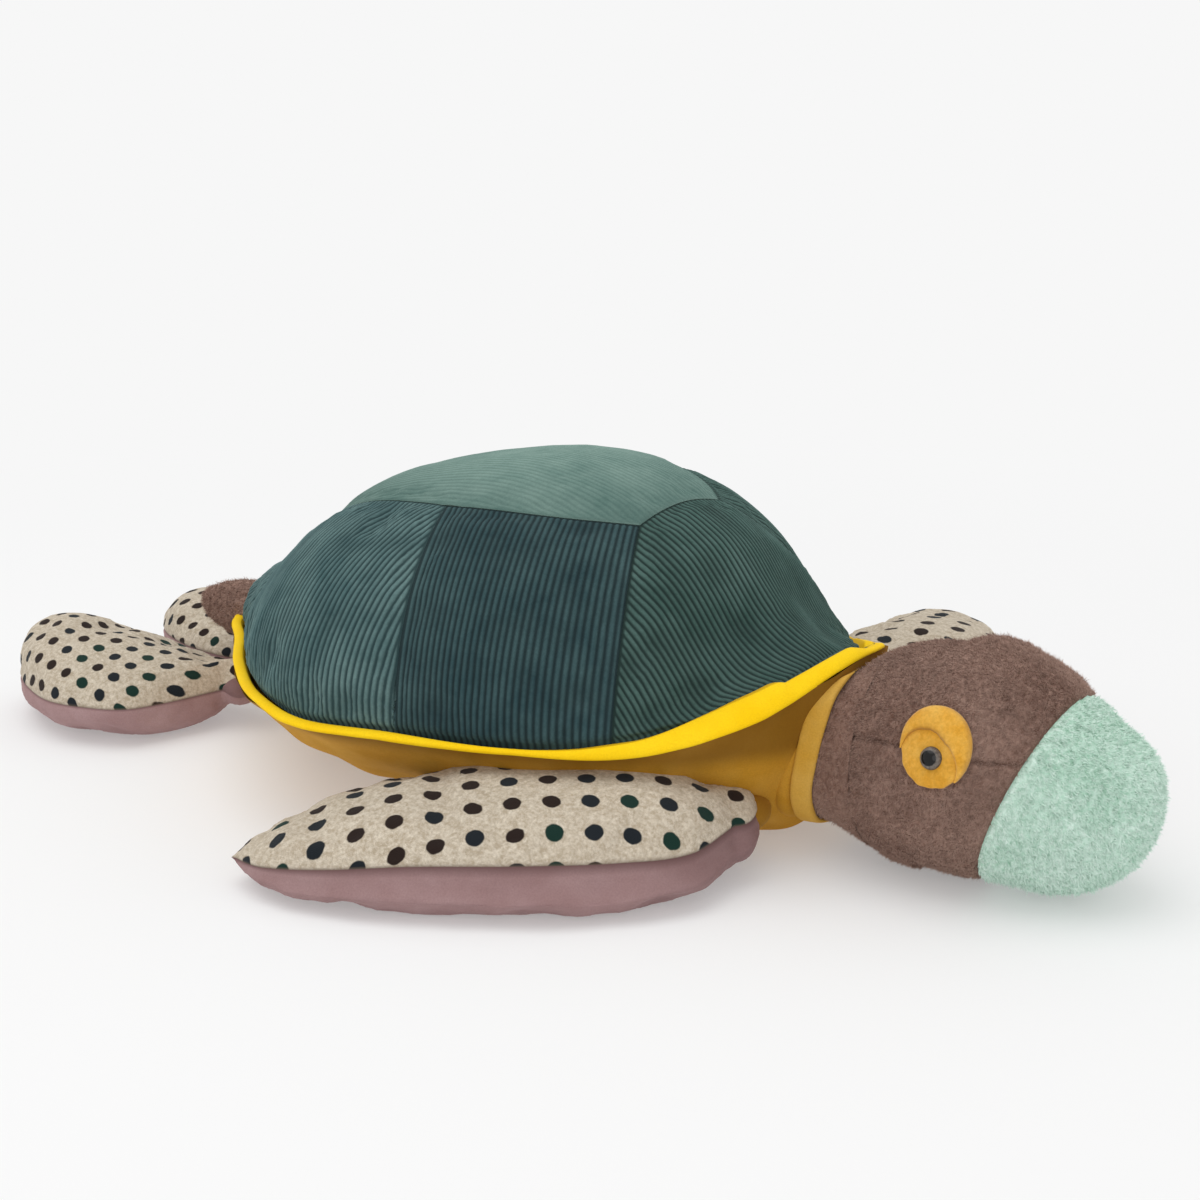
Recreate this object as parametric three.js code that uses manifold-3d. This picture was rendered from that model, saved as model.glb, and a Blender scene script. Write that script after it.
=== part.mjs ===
// A stuffed sea turtle that lies flat: a corduroy shell and a velour belly over one stuffed body,
// with a furry head in a collar, four pillow flippers and a stub of a tail.
// Millimetres, +X to the head, +Y to the turtle's left, +Z up. The belly rests on z = 0.
import * as THREE from 'three';
import { mergeVertices } from 'three/addons/utils/BufferGeometryUtils.js';
import Module from 'manifold-3d';

const wasm = await Module();
wasm.setup();

// Cloth and clearances
const clothThickness = 2;
const clearance = 0.3;
const restCut = 0.5;
const overrun = 60;

// Shell and belly, one stuffed body
const shellLength = 370;
const shellWidth = 274;
const shellRear = 194;
const shellFront = shellLength - shellRear;
const rimHeight = 56;
const shellTop = 160;
const trimWidth = 11.5;
const trimThickness = 3;

// Neck and collar cuff
const neckSetback = 4;
const neckFront = shellFront - neckSetback;
const neckLength = 67;
const neckRoot = neckFront - neckLength;
const neckWidth = 78;
const neckTop = 85;
const neckBottom = 10;
const cuffWidth = 12;
// How much wider the neck is at its root, halfway and at its front, as shares of its width.
const neckWideningShares = [0.25, 0.1, 0];

// Head, measured from the middle of the ball at its back
const headAhead = 40;
const headX = neckFront + headAhead;
const headZ = 48;
const headBall = 49.5;
const headReach = 93;
const headWidth = 104;
const headTop = 102;
const muzzleTopReach = 64;
const muzzleBottomReach = 26;
const headSeamZ = 61;
const neckCushionThickness = 3.4;
const neckCushionReach = 38;

// Eye on its patch
const eyeAhead = 17;
const eyeRise = 17;
const eyeX = headX + eyeAhead;
const eyeZ = headZ + eyeRise;
const eyeDiameter = 9.5;
const eyeBulge = 3.6;
const shankDiameter = 3;
const shankLength = 10;
const washerDiameter = 15;
const washerThickness = 1.6;
const washerSink = 2.4;
// The eye's dome. Each row: radius and height, as shares of the eye's own.
const eyeDomeShares = [
  [1, 0],
  [0.94, 0.45],
  [0.6, 0.85],
  [0, 1],
];
const patchWidth = 29.5;
const patchHeight = 29;
const patchRise = 3;
const eyelidDepth = 11;
// The eyelid's lower edge, behind, over and before the eye. Each row: place and height, as shares
// of half the patch's width and of the height at the peak.
const eyelidEdgeShares = [
  [-1, 0],
  [-0.25, 1],
  [0.5, 0.6],
];

// Front flippers, measured from the middle of the ball at the root. Each side lies at a heading
// from straight back and a raise, and turns from there through its ranges, all in degrees. A side
// may have its own height of the top.
const frontRootSetback = 38;
const frontRootOut = 11;
const frontFlipper = {
  name: 'front_flipper',
  rootX: neckFront - frontRootSetback,
  rootY: neckWidth / 2 + frontRootOut,
  rootZ: 24,
  ball: 19,
  length: 206,
  width: 88,
  top: 48,
  bottomFullness: 5,
  bulgeShare: 0.18,
  right: { heading: 41, raise: 0, back: 4, forward: 45, down: 45, up: 2 },
  left: { heading: 79, raise: 6, back: 7, forward: 8, down: 50, up: 2.5, top: 45 },
};

// Rear flippers, likewise
const rearRootSetback = 22;
const rearFlipper = {
  name: 'rear_flipper',
  rootX: rearRootSetback - shellRear,
  rootY: 30,
  rootZ: 22,
  ball: 14,
  length: 126,
  width: 92,
  top: 50,
  bottomFullness: 2.2,
  bulgeShare: 0,
  right: { heading: 12, raise: 0, back: 4, forward: 25, down: 35, up: 12 },
  left: { heading: 7, raise: 0, back: 2, forward: 28, down: 35, up: 12, top: 42 },
};
const gussetThickness = 3;
const gussetEdgeShare = 0.55;

// Tail
const tailSetback = 4;
const tailRise = 4;
const tailX = tailSetback - shellRear;
const tailZ = rimHeight + tailRise;
const tailBall = 13;
const tailReach = 31;
const tailWidth = 32;
const tailTop = 69;
const tailBottom = 36;
const tailThroat = 16;
const tailMouth = 9;
const tailShellGap = 12.5;
const tailTrimGap = 19;

// Mesh fineness, in counts
const bodyStations = 15;
const bodyPoints = 20;
const smallStations = 7;
const smallPoints = 10;
const neckPoints = 16;
const ballSegments = 12;
const headSegments = 20;
const turnSteps = 2;

// Body outline. Each row: place along the shell from the rear, half width of the rim, height of
// the rim, height of the ridge, half width of the flat bottom, height of the bottom, fullness of
// the dome. Widths are shares of half the shell's width, rim and bottom heights of the rim's
// height, and the ridge is a share of the way from the rim to the shell's top.
const bodyShares = [
  [0, 0, 0.9, 0, 0, 0.9, 1.8],
  [0.04, 0.15, 0.93, 0.2, 0.03, 0.55, 1.8],
  [0.13, 0.39, 0.97, 0.36, 0.1, 0.16, 1.9],
  [0.22, 0.64, 0.98, 0.57, 0.2, 0, 1.95],
  [0.34, 0.89, 0.98, 0.82, 0.3, 0, 2.1],
  [0.45, 1, 0.96, 0.94, 0.34, 0, 2.2],
  [0.58, 0.98, 1, 0.985, 0.32, 0, 2.2],
  [0.7, 0.91, 1.01, 0.91, 0.27, 0, 2],
  [0.8, 0.785, 1.03, 0.765, 0.2, 0, 1.55],
  [0.87, 0.655, 1.08, 0.53, 0.14, 0.05, 1.2],
  [0.95, 0.45, 1.28, 0.18, 0.08, 0.3, 1.2],
  [1, 0, 1.56, 0.02, 0, 1.3, 1.25],
];
const bellyFullness = 1.15;

// The trim along the shell from the rear: how far it hangs, in quarter turns from flat, and how
// much of its width shows.
const trimShares = [
  [0, 0.15, 0.4],
  [0.1, 0.15, 0.4],
  [0.4, 0.12, 0.75],
  [0.65, 0.2, 0.9],
  [0.85, 0.55, 1],
  [1, 0.3, 1],
];

// Corners of the shell's top panel and the ends of its seams on the rim, on the right side.
// Each is a place along the shell from the rear and a share of half its width.
const topCornerShares = [
  [0.757, 0.3],
  [0.503, 0.42],
  [0.24, 0.22],
];
const seamEndShares = [
  [0.811, 0.69],
  [0.584, 0.97],
  [0.14, 0.36],
];

// Head sections. Each row: place from the ball's middle to the nose, half width, top, bottom.
// Widths are shares of half the head's width, tops and bottoms of the head's top.
const headShares = [
  [0, 0.94, 0.945, 0],
  [0.15, 0.99, 0.995, 0],
  [0.32, 0.98, 0.975, 0],
  [0.48, 0.9, 0.91, 0],
  [0.62, 0.79, 0.83, 0.01],
  [0.76, 0.65, 0.745, 0.05],
  [0.88, 0.47, 0.67, 0.14],
  [0.96, 0.28, 0.59, 0.26],
  [1, 0, 0.46, 0.42],
];

// Flipper outlines. Each row: place from the root to the tip, leading edge, trailing edge, top,
// bottom, seam. Edges are shares of the width, and the rest runs from the floor to the top.
const frontFlipperShares = [
  [0, 0.3, -0.19, 0.66, 0.2, 0.48],
  [0.1, 0.56, -0.27, 0.82, 0.07, 0.5],
  [0.25, 0.64, -0.36, 0.95, 0.01, 0.52],
  [0.45, 0.64, -0.42, 1, 0, 0.52],
  [0.65, 0.55, -0.38, 0.95, 0.01, 0.49],
  [0.82, 0.42, -0.26, 0.77, 0.03, 0.4],
  [0.94, 0.23, -0.12, 0.51, 0.08, 0.31],
  [1, 0.02, -0.02, 0.27, 0.18, 0.22],
];
const rearFlipperShares = [
  [0, 0.12, -0.14, 0.68, 0.2, 0.42],
  [0.1, 0.42, -0.2, 0.7, 0.08, 0.42],
  [0.2, 0.62, -0.26, 0.74, 0.02, 0.42],
  [0.36, 0.68, -0.32, 0.83, 0, 0.42],
  [0.56, 0.66, -0.33, 0.94, 0, 0.42],
  [0.75, 0.5, -0.27, 1, 0.02, 0.42],
  [0.9, 0.3, -0.16, 0.88, 0.08, 0.42],
  [1, 0.06, -0.02, 0.5, 0.34, 0.42],
];
const flipperTopFullness = 1.9;

// Materials
const colours = {
  corduroy: '#2f5a58',
  trim: '#e8b80f',
  velour: '#c8921f',
  fur: '#6f5149',
  boucle: '#8fcdb4',
  dotted: '#b9a78f',
  mauve: '#a07f7c',
  felt: '#d99a2b',
  stuffing: '#ece9e2',
  plastic: '#2b2624',
};

const makeMaterial = (colour, roughness) =>
  new THREE.MeshStandardMaterial({ color: colour, roughness, metalness: 0 });

const materials = {
  corduroy: makeMaterial(colours.corduroy, 0.9),
  trim: makeMaterial(colours.trim, 0.9),
  velour: makeMaterial(colours.velour, 0.85),
  fur: makeMaterial(colours.fur, 1),
  boucle: makeMaterial(colours.boucle, 1),
  dotted: makeMaterial(colours.dotted, 0.95),
  mauve: makeMaterial(colours.mauve, 0.85),
  felt: makeMaterial(colours.felt, 0.95),
  stuffing: makeMaterial(colours.stuffing, 1),
  plastic: makeMaterial(colours.plastic, 0.2),
};

// Small mathematics

// Smooth value of one column of a table whose first column rises.
function tableValue(rows, column, share) {
  const last = rows.length - 1;
  const slopeAt = (n) => {
    const before = rows[Math.max(n - 1, 0)];
    const after = rows[Math.min(n + 1, last)];
    return (after[column] - before[column]) / (after[0] - before[0]);
  };
  const right = Math.max(1, rows.findIndex((row) => row[0] >= Math.min(share, 1)));
  const left = right - 1;
  const span = rows[right][0] - rows[left][0];
  const t = (share - rows[left][0]) / span;
  const rise = rows[right][column] - rows[left][column];
  const a = slopeAt(left) * span - rise;
  const b = rise - slopeAt(right) * span;
  return rows[left][column] + t * rise + t * (1 - t) * (a * (1 - t) + b * t);
}

// Like tableValue, but with round ends where the column runs out to nothing.
function roundValue(rows, column, share) {
  const squared = rows.map((row) => [row[0], row[column] ** 2]);
  return Math.sqrt(Math.max(tableValue(squared, 1, share), 0));
}

// Shares from 0 to 1 that crowd at both ends, without the ends themselves.
function crowdedShares(count) {
  const angle = Math.PI / (count + 1);
  return Array.from({ length: count }, (_, n) => (1 - Math.cos(angle * (n + 1))) / 2);
}

// Shares from 0 that crowd towards 1, without 1 itself.
function crowdedOut(count) {
  return Array.from({ length: count }, (_, n) => Math.sin((Math.PI * n) / (2 * count)));
}

// A power that keeps the sign of its base.
const signedPower = (base, power) => Math.sign(base) * Math.abs(base) ** power;

// Closed surfaces

function signedVolume(positions, index) {
  const corner = (n) => new THREE.Vector3().fromArray(positions, index[n] * 3);
  let sum = 0;
  for (let n = 0; n < index.length; n += 3) {
    sum += corner(n).dot(corner(n + 1).cross(corner(n + 2)));
  }
  return sum;
}

function closedGeometry(points, triangles) {
  const positions = points.flatMap((point) => point.toArray());
  const index = triangles.flat();
  if (signedVolume(positions, index) < 0) {
    index.reverse();
  }
  const geometry = new THREE.BufferGeometry();
  geometry.setAttribute('position', new THREE.Float32BufferAttribute(positions, 3));
  geometry.setIndex(index);
  return geometry;
}

function bandTriangles(first, second, count) {
  const triangles = [];
  for (let n = 0; n < count; n += 1) {
    const next = (n + 1) % count;
    triangles.push([first + n, first + next, second + n]);
    triangles.push([first + next, second + next, second + n]);
  }
  return triangles;
}

// A solid through a row of rings of as many points, closed at both ends by a point.
function loft(rings, startPoint, endPoint) {
  const count = rings[0].length;
  const points = [...rings.flat(), startPoint, endPoint];
  const start = rings.length * count;
  const triangles = [];
  for (let ring = 0; ring + 1 < rings.length; ring += 1) {
    triangles.push(...bandTriangles(ring * count, (ring + 1) * count, count));
  }
  for (let n = 0; n < count; n += 1) {
    const next = (n + 1) % count;
    const lastRing = start - count;
    triangles.push([next, n, start]);
    triangles.push([lastRing + n, lastRing + next, start + 1]);
  }
  return closedGeometry(points, triangles);
}

// A closed hoop: one section after another, round to the first.
function hoop(sections) {
  const count = sections[0].length;
  const triangles = sections.flatMap((_, n) =>
    bandTriangles(n * count, ((n + 1) % sections.length) * count, count));
  return closedGeometry(sections.flat(), triangles);
}

// The same surface, moved inwards by a depth, or outwards where the depth is negative.
function inset(geometry, depth) {
  const moved = geometry.clone();
  moved.computeVertexNormals();
  const { position, normal } = moved.attributes;
  const point = new THREE.Vector3();
  const direction = new THREE.Vector3();
  for (let n = 0; n < position.count; n += 1) {
    direction.fromBufferAttribute(normal, n);
    point.fromBufferAttribute(position, n).addScaledVector(direction, -depth);
    position.setXYZ(n, point.x, point.y, point.z);
  }
  moved.deleteAttribute('normal');
  return moved;
}

// Solids that can be joined and cut

function toSolid(geometry) {
  const bare = geometry.clone();
  bare.deleteAttribute('normal');
  bare.deleteAttribute('uv');
  const merged = mergeVertices(bare);
  return new wasm.Manifold(new wasm.Mesh({
    numProp: 3,
    vertProperties: new Float32Array(merged.attributes.position.array),
    triVerts: new Uint32Array(merged.index.array),
  }));
}

function toGeometry(solid) {
  const { numProp, vertProperties, triVerts } = solid.getMesh();
  const geometry = new THREE.BufferGeometry();
  const positions = [];
  for (let n = 0; n < vertProperties.length; n += numProp) {
    positions.push(vertProperties[n], vertProperties[n + 1], vertProperties[n + 2]);
  }
  geometry.setAttribute('position', new THREE.Float32BufferAttribute(positions, 3));
  geometry.setIndex(Array.from(triVerts));
  geometry.computeVertexNormals();
  return geometry;
}

// The largest body that a cut leaves, without chips.
function mainBody(solid) {
  const bodies = solid.decompose();
  return bodies.reduce((best, body) => (body.volume() > best.volume() ? body : best));
}

const moveSolid = (solid, matrix) => solid.transform(matrix.elements);

const join = (solids) => solids.reduce((sum, solid) => sum.add(solid));

// A ball with its poles above and below.
function ball(centre, radius, segments = ballSegments) {
  const geometry = new THREE.SphereGeometry(radius, segments, segments / 2);
  geometry.rotateX(Math.PI / 2);
  geometry.translate(centre.x, centre.y, centre.z);
  return toSolid(geometry);
}

// A ball to cut away: all its faces lie outside the radius, so what turns in it runs free. Its
// faces lie across a ball's corners, which keeps the gap between the two small.
function hollowBall(centre, radius, segments = ballSegments) {
  const halfTurn = Math.PI / segments;
  const cornerRadius = radius / Math.cos(halfTurn) ** 2;
  const geometry = new THREE.SphereGeometry(cornerRadius, segments, segments / 2);
  geometry.rotateY(halfTurn);
  geometry.translate(centre.x, centre.y, centre.z);
  return toSolid(geometry);
}

function box(low, high) {
  const size = high.clone().sub(low);
  const centre = low.clone().add(high).multiplyScalar(1 / 2);
  const geometry = new THREE.BoxGeometry(size.x, size.y, size.z);
  geometry.translate(centre.x, centre.y, centre.z);
  return toSolid(geometry);
}

// An upright solid over an outline in plan.
function uprightPrism(outline, low, high) {
  const shape = new THREE.Shape(outline);
  const geometry = new THREE.ExtrudeGeometry(shape, { depth: high - low, bevelEnabled: false });
  geometry.translate(0, 0, low);
  return toSolid(geometry);
}

// A solid over an outline in x and z, between two places across the turtle.
function sidewaysPrism(outline, low, high) {
  const shape = new THREE.Shape(outline);
  const geometry = new THREE.ExtrudeGeometry(shape, { depth: high - low, bevelEnabled: false });
  geometry.rotateX(Math.PI / 2);
  geometry.translate(0, high, 0);
  return toSolid(geometry);
}

// A round bar along the turtle, between two places.
function lengthwiseBar(radius, low, high, height) {
  const geometry = new THREE.CylinderGeometry(radius, radius, high - low, smallPoints);
  geometry.rotateZ(Math.PI / 2);
  geometry.translate((low + high) / 2, 0, height);
  return toSolid(geometry);
}

function addMesh(group, name, solid, material) {
  const mesh = new THREE.Mesh(toGeometry(mainBody(solid)), material);
  mesh.name = name;
  group.add(mesh);
}

const belowFloor = box(
  new THREE.Vector3(-shellLength * 2, -shellLength * 2, -overrun),
  new THREE.Vector3(shellLength * 2, shellLength * 2, 0),
);
const offFloor = (solid) => solid.subtract(belowFloor);

// Body: sections across the turtle, each a dome above the rim and a bowl with a level bottom below

const alongShell = (share) => share * shellLength - shellRear;

function bodySizes(share) {
  const rim = tableValue(bodyShares, 2, share) * rimHeight;
  return {
    x: alongShell(share),
    halfWidth: (roundValue(bodyShares, 1, share) * shellWidth) / 2,
    rim,
    ridge: rim + roundValue(bodyShares, 3, share) * (shellTop - rim),
    flat: (tableValue(bodyShares, 4, share) * shellWidth) / 2,
    bottom: tableValue(bodyShares, 5, share) * rimHeight - restCut,
    fullness: tableValue(bodyShares, 6, share),
  };
}

function bodySection(share) {
  const { x, halfWidth, rim, ridge, flat, bottom, fullness } = bodySizes(share);
  const quarter = bodyPoints / 4;
  const dome = Array.from({ length: 2 * quarter + 1 }, (_, n) => {
    const angle = (Math.PI * n) / (2 * quarter);
    const across = signedPower(Math.cos(angle), 2 / fullness);
    const upright = Math.sin(angle) ** (2 / fullness);
    return new THREE.Vector3(x, across * halfWidth, rim + upright * (ridge - rim));
  });
  const level = Math.min(flat, halfWidth / 2);
  const bowl = Array.from({ length: quarter - 1 }, (_, n) => {
    const angle = (Math.PI * (n + 1)) / (2 * (quarter - 1));
    const across = Math.abs(Math.cos(angle)) ** (2 / bellyFullness);
    const upright = Math.sin(angle) ** (2 / bellyFullness);
    return new THREE.Vector3(x, -level - across * (halfWidth - level), rim - upright * (rim - bottom));
  });
  const middle = new THREE.Vector3(x, 0, bottom);
  const otherBowl = bowl.map((point) => new THREE.Vector3(x, -point.y, point.z)).reverse();
  return [...dome, ...bowl, middle, ...otherBowl];
}

function bodyGeometry() {
  const rings = crowdedShares(bodyStations).map(bodySection);
  const rear = bodySizes(0);
  const front = bodySizes(1);
  return loft(
    rings,
    new THREE.Vector3(rear.x, 0, rear.rim),
    new THREE.Vector3(front.x, 0, front.rim),
  );
}

const bodySurface = bodyGeometry();
const bodyForm = (depth) => toSolid(inset(bodySurface, depth));

// Neck: a tube that carries the collar

const neckMiddle = (neckTop + neckBottom) / 2;

function neckSection(x, widening) {
  const halfWidth = (neckWidth / 2) * (1 + widening);
  const halfHeight = (neckTop - neckBottom) / 2;
  return Array.from({ length: neckPoints }, (_, n) => {
    const angle = (2 * Math.PI * n) / neckPoints;
    const y = halfWidth * Math.cos(angle);
    return new THREE.Vector3(x, y, neckMiddle + halfHeight * Math.sin(angle));
  });
}

// The neck's side, run on past its front.
function neckGeometry() {
  const [atRoot, halfway, atFront] = neckWideningShares;
  const end = neckFront + overrun;
  const rings = [
    neckSection(neckRoot, atRoot),
    neckSection((neckRoot + neckFront) / 2, halfway),
    neckSection(neckFront, atFront),
    neckSection(end, atFront),
  ];
  return loft(rings, new THREE.Vector3(neckRoot, 0, neckMiddle), new THREE.Vector3(end, 0, neckMiddle));
}

const neckSurface = neckGeometry();

// The neck with its side moved in by a depth and its front face left where it is.
function neckForm(depth) {
  const beyond = box(
    new THREE.Vector3(neckFront, -shellWidth, -overrun),
    new THREE.Vector3(neckFront + 2 * overrun, shellWidth, shellTop + overrun),
  );
  return toSolid(inset(neckSurface, depth)).subtract(beyond);
}

// Rim: the line where shell, trim and belly meet

function rimLoop() {
  const shares = crowdedShares(bodyStations);
  const right = shares.map((share) => {
    const { x, halfWidth, rim } = bodySizes(share);
    return { share, point: new THREE.Vector3(x, -halfWidth, rim) };
  });
  const left = right.map(({ share, point }) => {
    return { share, point: new THREE.Vector3(point.x, -point.y, point.z) };
  });
  const tip = (share) => {
    return { share, point: new THREE.Vector3(alongShell(share), 0, bodySizes(share).rim) };
  };
  return [tip(0), ...right, tip(1), ...left.reverse()];
}

const rim = rimLoop();

// Everything above the rim, with its lower surface raised by a lift.
function aboveRim(lift) {
  const middle = new THREE.Vector3(alongShell(1 / 2), 0, 0);
  const ringAt = (scale, height) => rim.map(({ point }) => new THREE.Vector3(
    middle.x + (point.x - middle.x) * scale,
    point.y * scale,
    height ?? point.z + lift,
  ));
  const ceiling = shellTop + overrun;
  const rings = [ringAt(1 / 4), ringAt(1), ringAt(2), ringAt(2, ceiling), ringAt(1 / 4, ceiling)];
  return toSolid(loft(
    rings,
    new THREE.Vector3(middle.x, 0, rimHeight + lift),
    new THREE.Vector3(middle.x, 0, ceiling),
  ));
}

// Outward direction in plan at each point of the rim.
function rimOutward(n) {
  const before = rim[(n + rim.length - 1) % rim.length].point;
  const after = rim[(n + 1) % rim.length].point;
  return new THREE.Vector3(after.y - before.y, before.x - after.x, 0).normalize();
}

function trimSection(n) {
  const { share, point } = rim[n];
  const outward = rimOutward(n);
  const hang = (tableValue(trimShares, 1, share) * Math.PI) / 2;
  const width = tableValue(trimShares, 2, share) * trimWidth;
  const along = outward.clone().multiplyScalar(Math.cos(hang)).setZ(-Math.sin(hang));
  const across = outward.clone().multiplyScalar(Math.sin(hang)).setZ(Math.cos(hang));
  const place = (reach, side, flat) => point.clone()
    .addScaledVector(flat ? outward : along, reach)
    .addScaledVector(flat ? new THREE.Vector3(0, 0, 1) : across, (side * trimThickness) / 2);
  return [
    place(-clothThickness / 2, -1, true),
    place(-clothThickness / 2, 1, true),
    place(clothThickness, 1, true),
    place(width, 1 / 2, false),
    place(width, -1 / 2, false),
    place(clothThickness, -1, true),
  ];
}

const trimSurface = hoop(rim.map((_, n) => trimSection(n)));
const trimForm = (depth) => toSolid(inset(trimSurface, depth));

// Head: a ball at the back that turns in the collar, and a snout that tapers to the nose

const headMiddle = new THREE.Vector3(headX, 0, headZ);

function headSection(share) {
  const halfWidth = (roundValue(headShares, 1, share) * headWidth) / 2;
  const top = tableValue(headShares, 2, share) * headTop;
  const bottom = tableValue(headShares, 3, share) * headTop - restCut;
  return Array.from({ length: headSegments }, (_, n) => {
    const angle = (2 * Math.PI * n) / headSegments;
    return new THREE.Vector3(
      headX + share * headReach,
      halfWidth * Math.cos(angle),
      (top + bottom) / 2 + ((top - bottom) / 2) * Math.sin(angle),
    );
  });
}

// A ring of the ball at the head's back, a share of the way from its middle to its end.
function headBallSection(share) {
  const radius = headBall * Math.sqrt(1 - share ** 2);
  return Array.from({ length: headSegments }, (_, n) => {
    const angle = (2 * Math.PI * n) / headSegments;
    return new THREE.Vector3(
      headX - share * headBall,
      radius * Math.cos(angle),
      headZ + radius * Math.sin(angle),
    );
  });
}

function headGeometry() {
  const steps = crowdedOut(smallStations);
  const back = steps.slice(1, -1).reverse().map(headBallSection);
  const end = new THREE.Vector3(headX - headBall, 0, headZ);
  const nose = headSection(1)[0].setY(0);
  return loft([...back, ...steps.map(headSection)], end, nose);
}

const headSurface = headGeometry();
const headForm = (depth) => toSolid(inset(headSurface, depth));

const headSocket = hollowBall(headMiddle, headBall + neckCushionThickness + 2 * clearance, headSegments);

// Everything in front of the tilted seam between face and muzzle, moved forwards by a shift.
function muzzleSide(shift) {
  const bottom = headX + muzzleBottomReach + shift;
  const ahead = headX + headReach + overrun;
  const outline = [
    new THREE.Vector2(bottom, 0),
    new THREE.Vector2(headX + muzzleTopReach + shift, headTop),
    new THREE.Vector2(ahead, headTop + overrun),
    new THREE.Vector2(ahead, -overrun),
    new THREE.Vector2(bottom, -overrun),
  ];
  return sidewaysPrism(outline, -headWidth, headWidth);
}

// Everything above a height
const aboveHeight = (height) => box(
  new THREE.Vector3(-shellLength * 2, -shellLength * 2, height),
  new THREE.Vector3(shellLength * 2, shellLength * 2, shellTop + 2 * overrun),
);

// Eye: its place on the side of the head and the outward axis there

function eyeFrame(side) {
  const share = (eyeX - headX) / headReach;
  const halfWidth = (roundValue(headShares, 1, share) * headWidth) / 2;
  const middle = (tableValue(headShares, 2, share) * headTop) / 2;
  const rise = (eyeZ - middle) / middle;
  const surface = new THREE.Vector3(eyeX, side * halfWidth * Math.sqrt(1 - rise ** 2), eyeZ);
  const outward = new THREE.Vector3(
    0,
    surface.y / halfWidth ** 2,
    (eyeZ - middle) / middle ** 2,
  ).normalize();
  const turn = new THREE.Quaternion().setFromUnitVectors(new THREE.Vector3(0, 0, 1), outward);
  return { surface, turn };
}

// A round solid on the eye's axis from a lathe profile of radius and height above the skin.
function onEyeAxis(side, profile) {
  const geometry = new THREE.LatheGeometry(
    profile.map(([radius, height]) => new THREE.Vector2(radius, height)),
    ballSegments / 2,
  );
  geometry.rotateX(Math.PI / 2);
  const { surface, turn } = eyeFrame(side);
  geometry.applyQuaternion(turn);
  geometry.translate(surface.x, surface.y, surface.z);
  return toSolid(geometry);
}

const eyeStack = 2 * clothThickness + 3 * clearance;

function eyeSolid(side) {
  const base = clothThickness + 2 * clearance;
  const dome = eyeDomeShares.map(([radius, height]) => [
    (radius * eyeDiameter) / 2,
    base + height * eyeBulge,
  ]);
  return onEyeAxis(side, [
    [0, base - shankLength],
    [shankDiameter / 2, base - shankLength],
    [shankDiameter / 2, base],
    ...dome,
  ]);
}

// A round hole on the eye's axis.
const eyeHole = (side, diameter) => onEyeAxis(side, [
  [0, -shankLength],
  [diameter / 2 + clearance, -shankLength],
  [diameter / 2 + clearance, shankLength],
  [0, shankLength],
]);

function washerPocket(side, extra) {
  const top = -clothThickness - clearance - washerSink + extra;
  return onEyeAxis(side, [
    [0, top - washerThickness - 2 * extra],
    [washerDiameter / 2 + extra, top - washerThickness - 2 * extra],
    [washerDiameter / 2 + extra, top],
    [0, top],
  ]);
}

// A solid that runs out to one side of the head over an outline in x and z.
function besideHead(side, outline) {
  const far = side * headWidth;
  return sidewaysPrism(outline, Math.min(0, far), Math.max(0, far));
}

// The patch's outline, from its front over its top, for a share of the way round.
function patchOutline(share) {
  const steps = smallPoints * share;
  return Array.from({ length: steps }, (_, n) => {
    const angle = (2 * Math.PI * n) / smallPoints;
    return new THREE.Vector2(
      eyeX + (patchWidth / 2) * Math.cos(angle),
      eyeZ + patchRise + (patchHeight / 2) * Math.sin(angle),
    );
  });
}

// The lid covers the top of the patch and ends in an edge like a low roof over the eye.
function eyelidOutline() {
  const peak = patchRise + patchHeight / 2 - eyelidDepth;
  const edge = eyelidEdgeShares.map(([along, up]) => new THREE.Vector2(
    eyeX + (along * patchWidth) / 2,
    eyeZ + up * peak,
  ));
  return [...patchOutline(1 / 2), ...edge];
}

// Flippers: a pillow on a ball that turns in a socket in the body

// Places in a flipper's own frame: u from root to tip, v to the leading edge, w up.
function flipperSection(spec, shares, share) {
  const lead = tableValue(shares, 1, share) * spec.width;
  const trail = tableValue(shares, 2, share) * spec.width;
  const top = tableValue(shares, 3, share) * spec.top;
  const bottom = tableValue(shares, 4, share) * spec.top - restCut;
  const seam = tableValue(shares, 5, share) * spec.top;
  return Array.from({ length: smallPoints }, (_, n) => {
    const angle = (2 * Math.PI * n) / smallPoints;
    const fullness = Math.sin(angle) > 0 ? flipperTopFullness : spec.bottomFullness;
    const across = signedPower(Math.cos(angle), 2 / fullness);
    const upright = signedPower(Math.sin(angle), 2 / fullness);
    const rise = upright > 0 ? top - seam : seam - bottom;
    const bulge = 1 + (upright < 0 ? spec.bulgeShare : 0);
    return new THREE.Vector3(
      share * spec.length,
      (lead + trail) / 2 + ((lead - trail) / 2) * across * bulge,
      seam + upright * rise - spec.rootZ,
    );
  });
}

function bladeGeometry(spec, shares) {
  const rings = crowdedOut(smallStations).map((share) => flipperSection(spec, shares, share));
  const tipHeight = tableValue(shares, 5, 1) * spec.top - spec.rootZ;
  return loft(rings, new THREE.Vector3(), new THREE.Vector3(spec.length, 0, tipHeight));
}

// Everything above a flipper's edge seam, raised by a lift.
function aboveSeam(spec, shares, lift) {
  const steps = smallStations;
  const line = Array.from({ length: steps + 1 }, (_, n) => new THREE.Vector2(
    (n / steps) * spec.length,
    tableValue(shares, 5, n / steps) * spec.top - spec.rootZ + lift,
  ));
  const outline = [
    new THREE.Vector2(-overrun, line[0].y),
    ...line,
    new THREE.Vector2(spec.length + overrun, line[steps].y),
    new THREE.Vector2(spec.length + overrun, shellTop),
    new THREE.Vector2(-overrun, shellTop),
  ];
  return sidewaysPrism(outline, -spec.width - overrun, spec.width + overrun);
}

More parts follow.
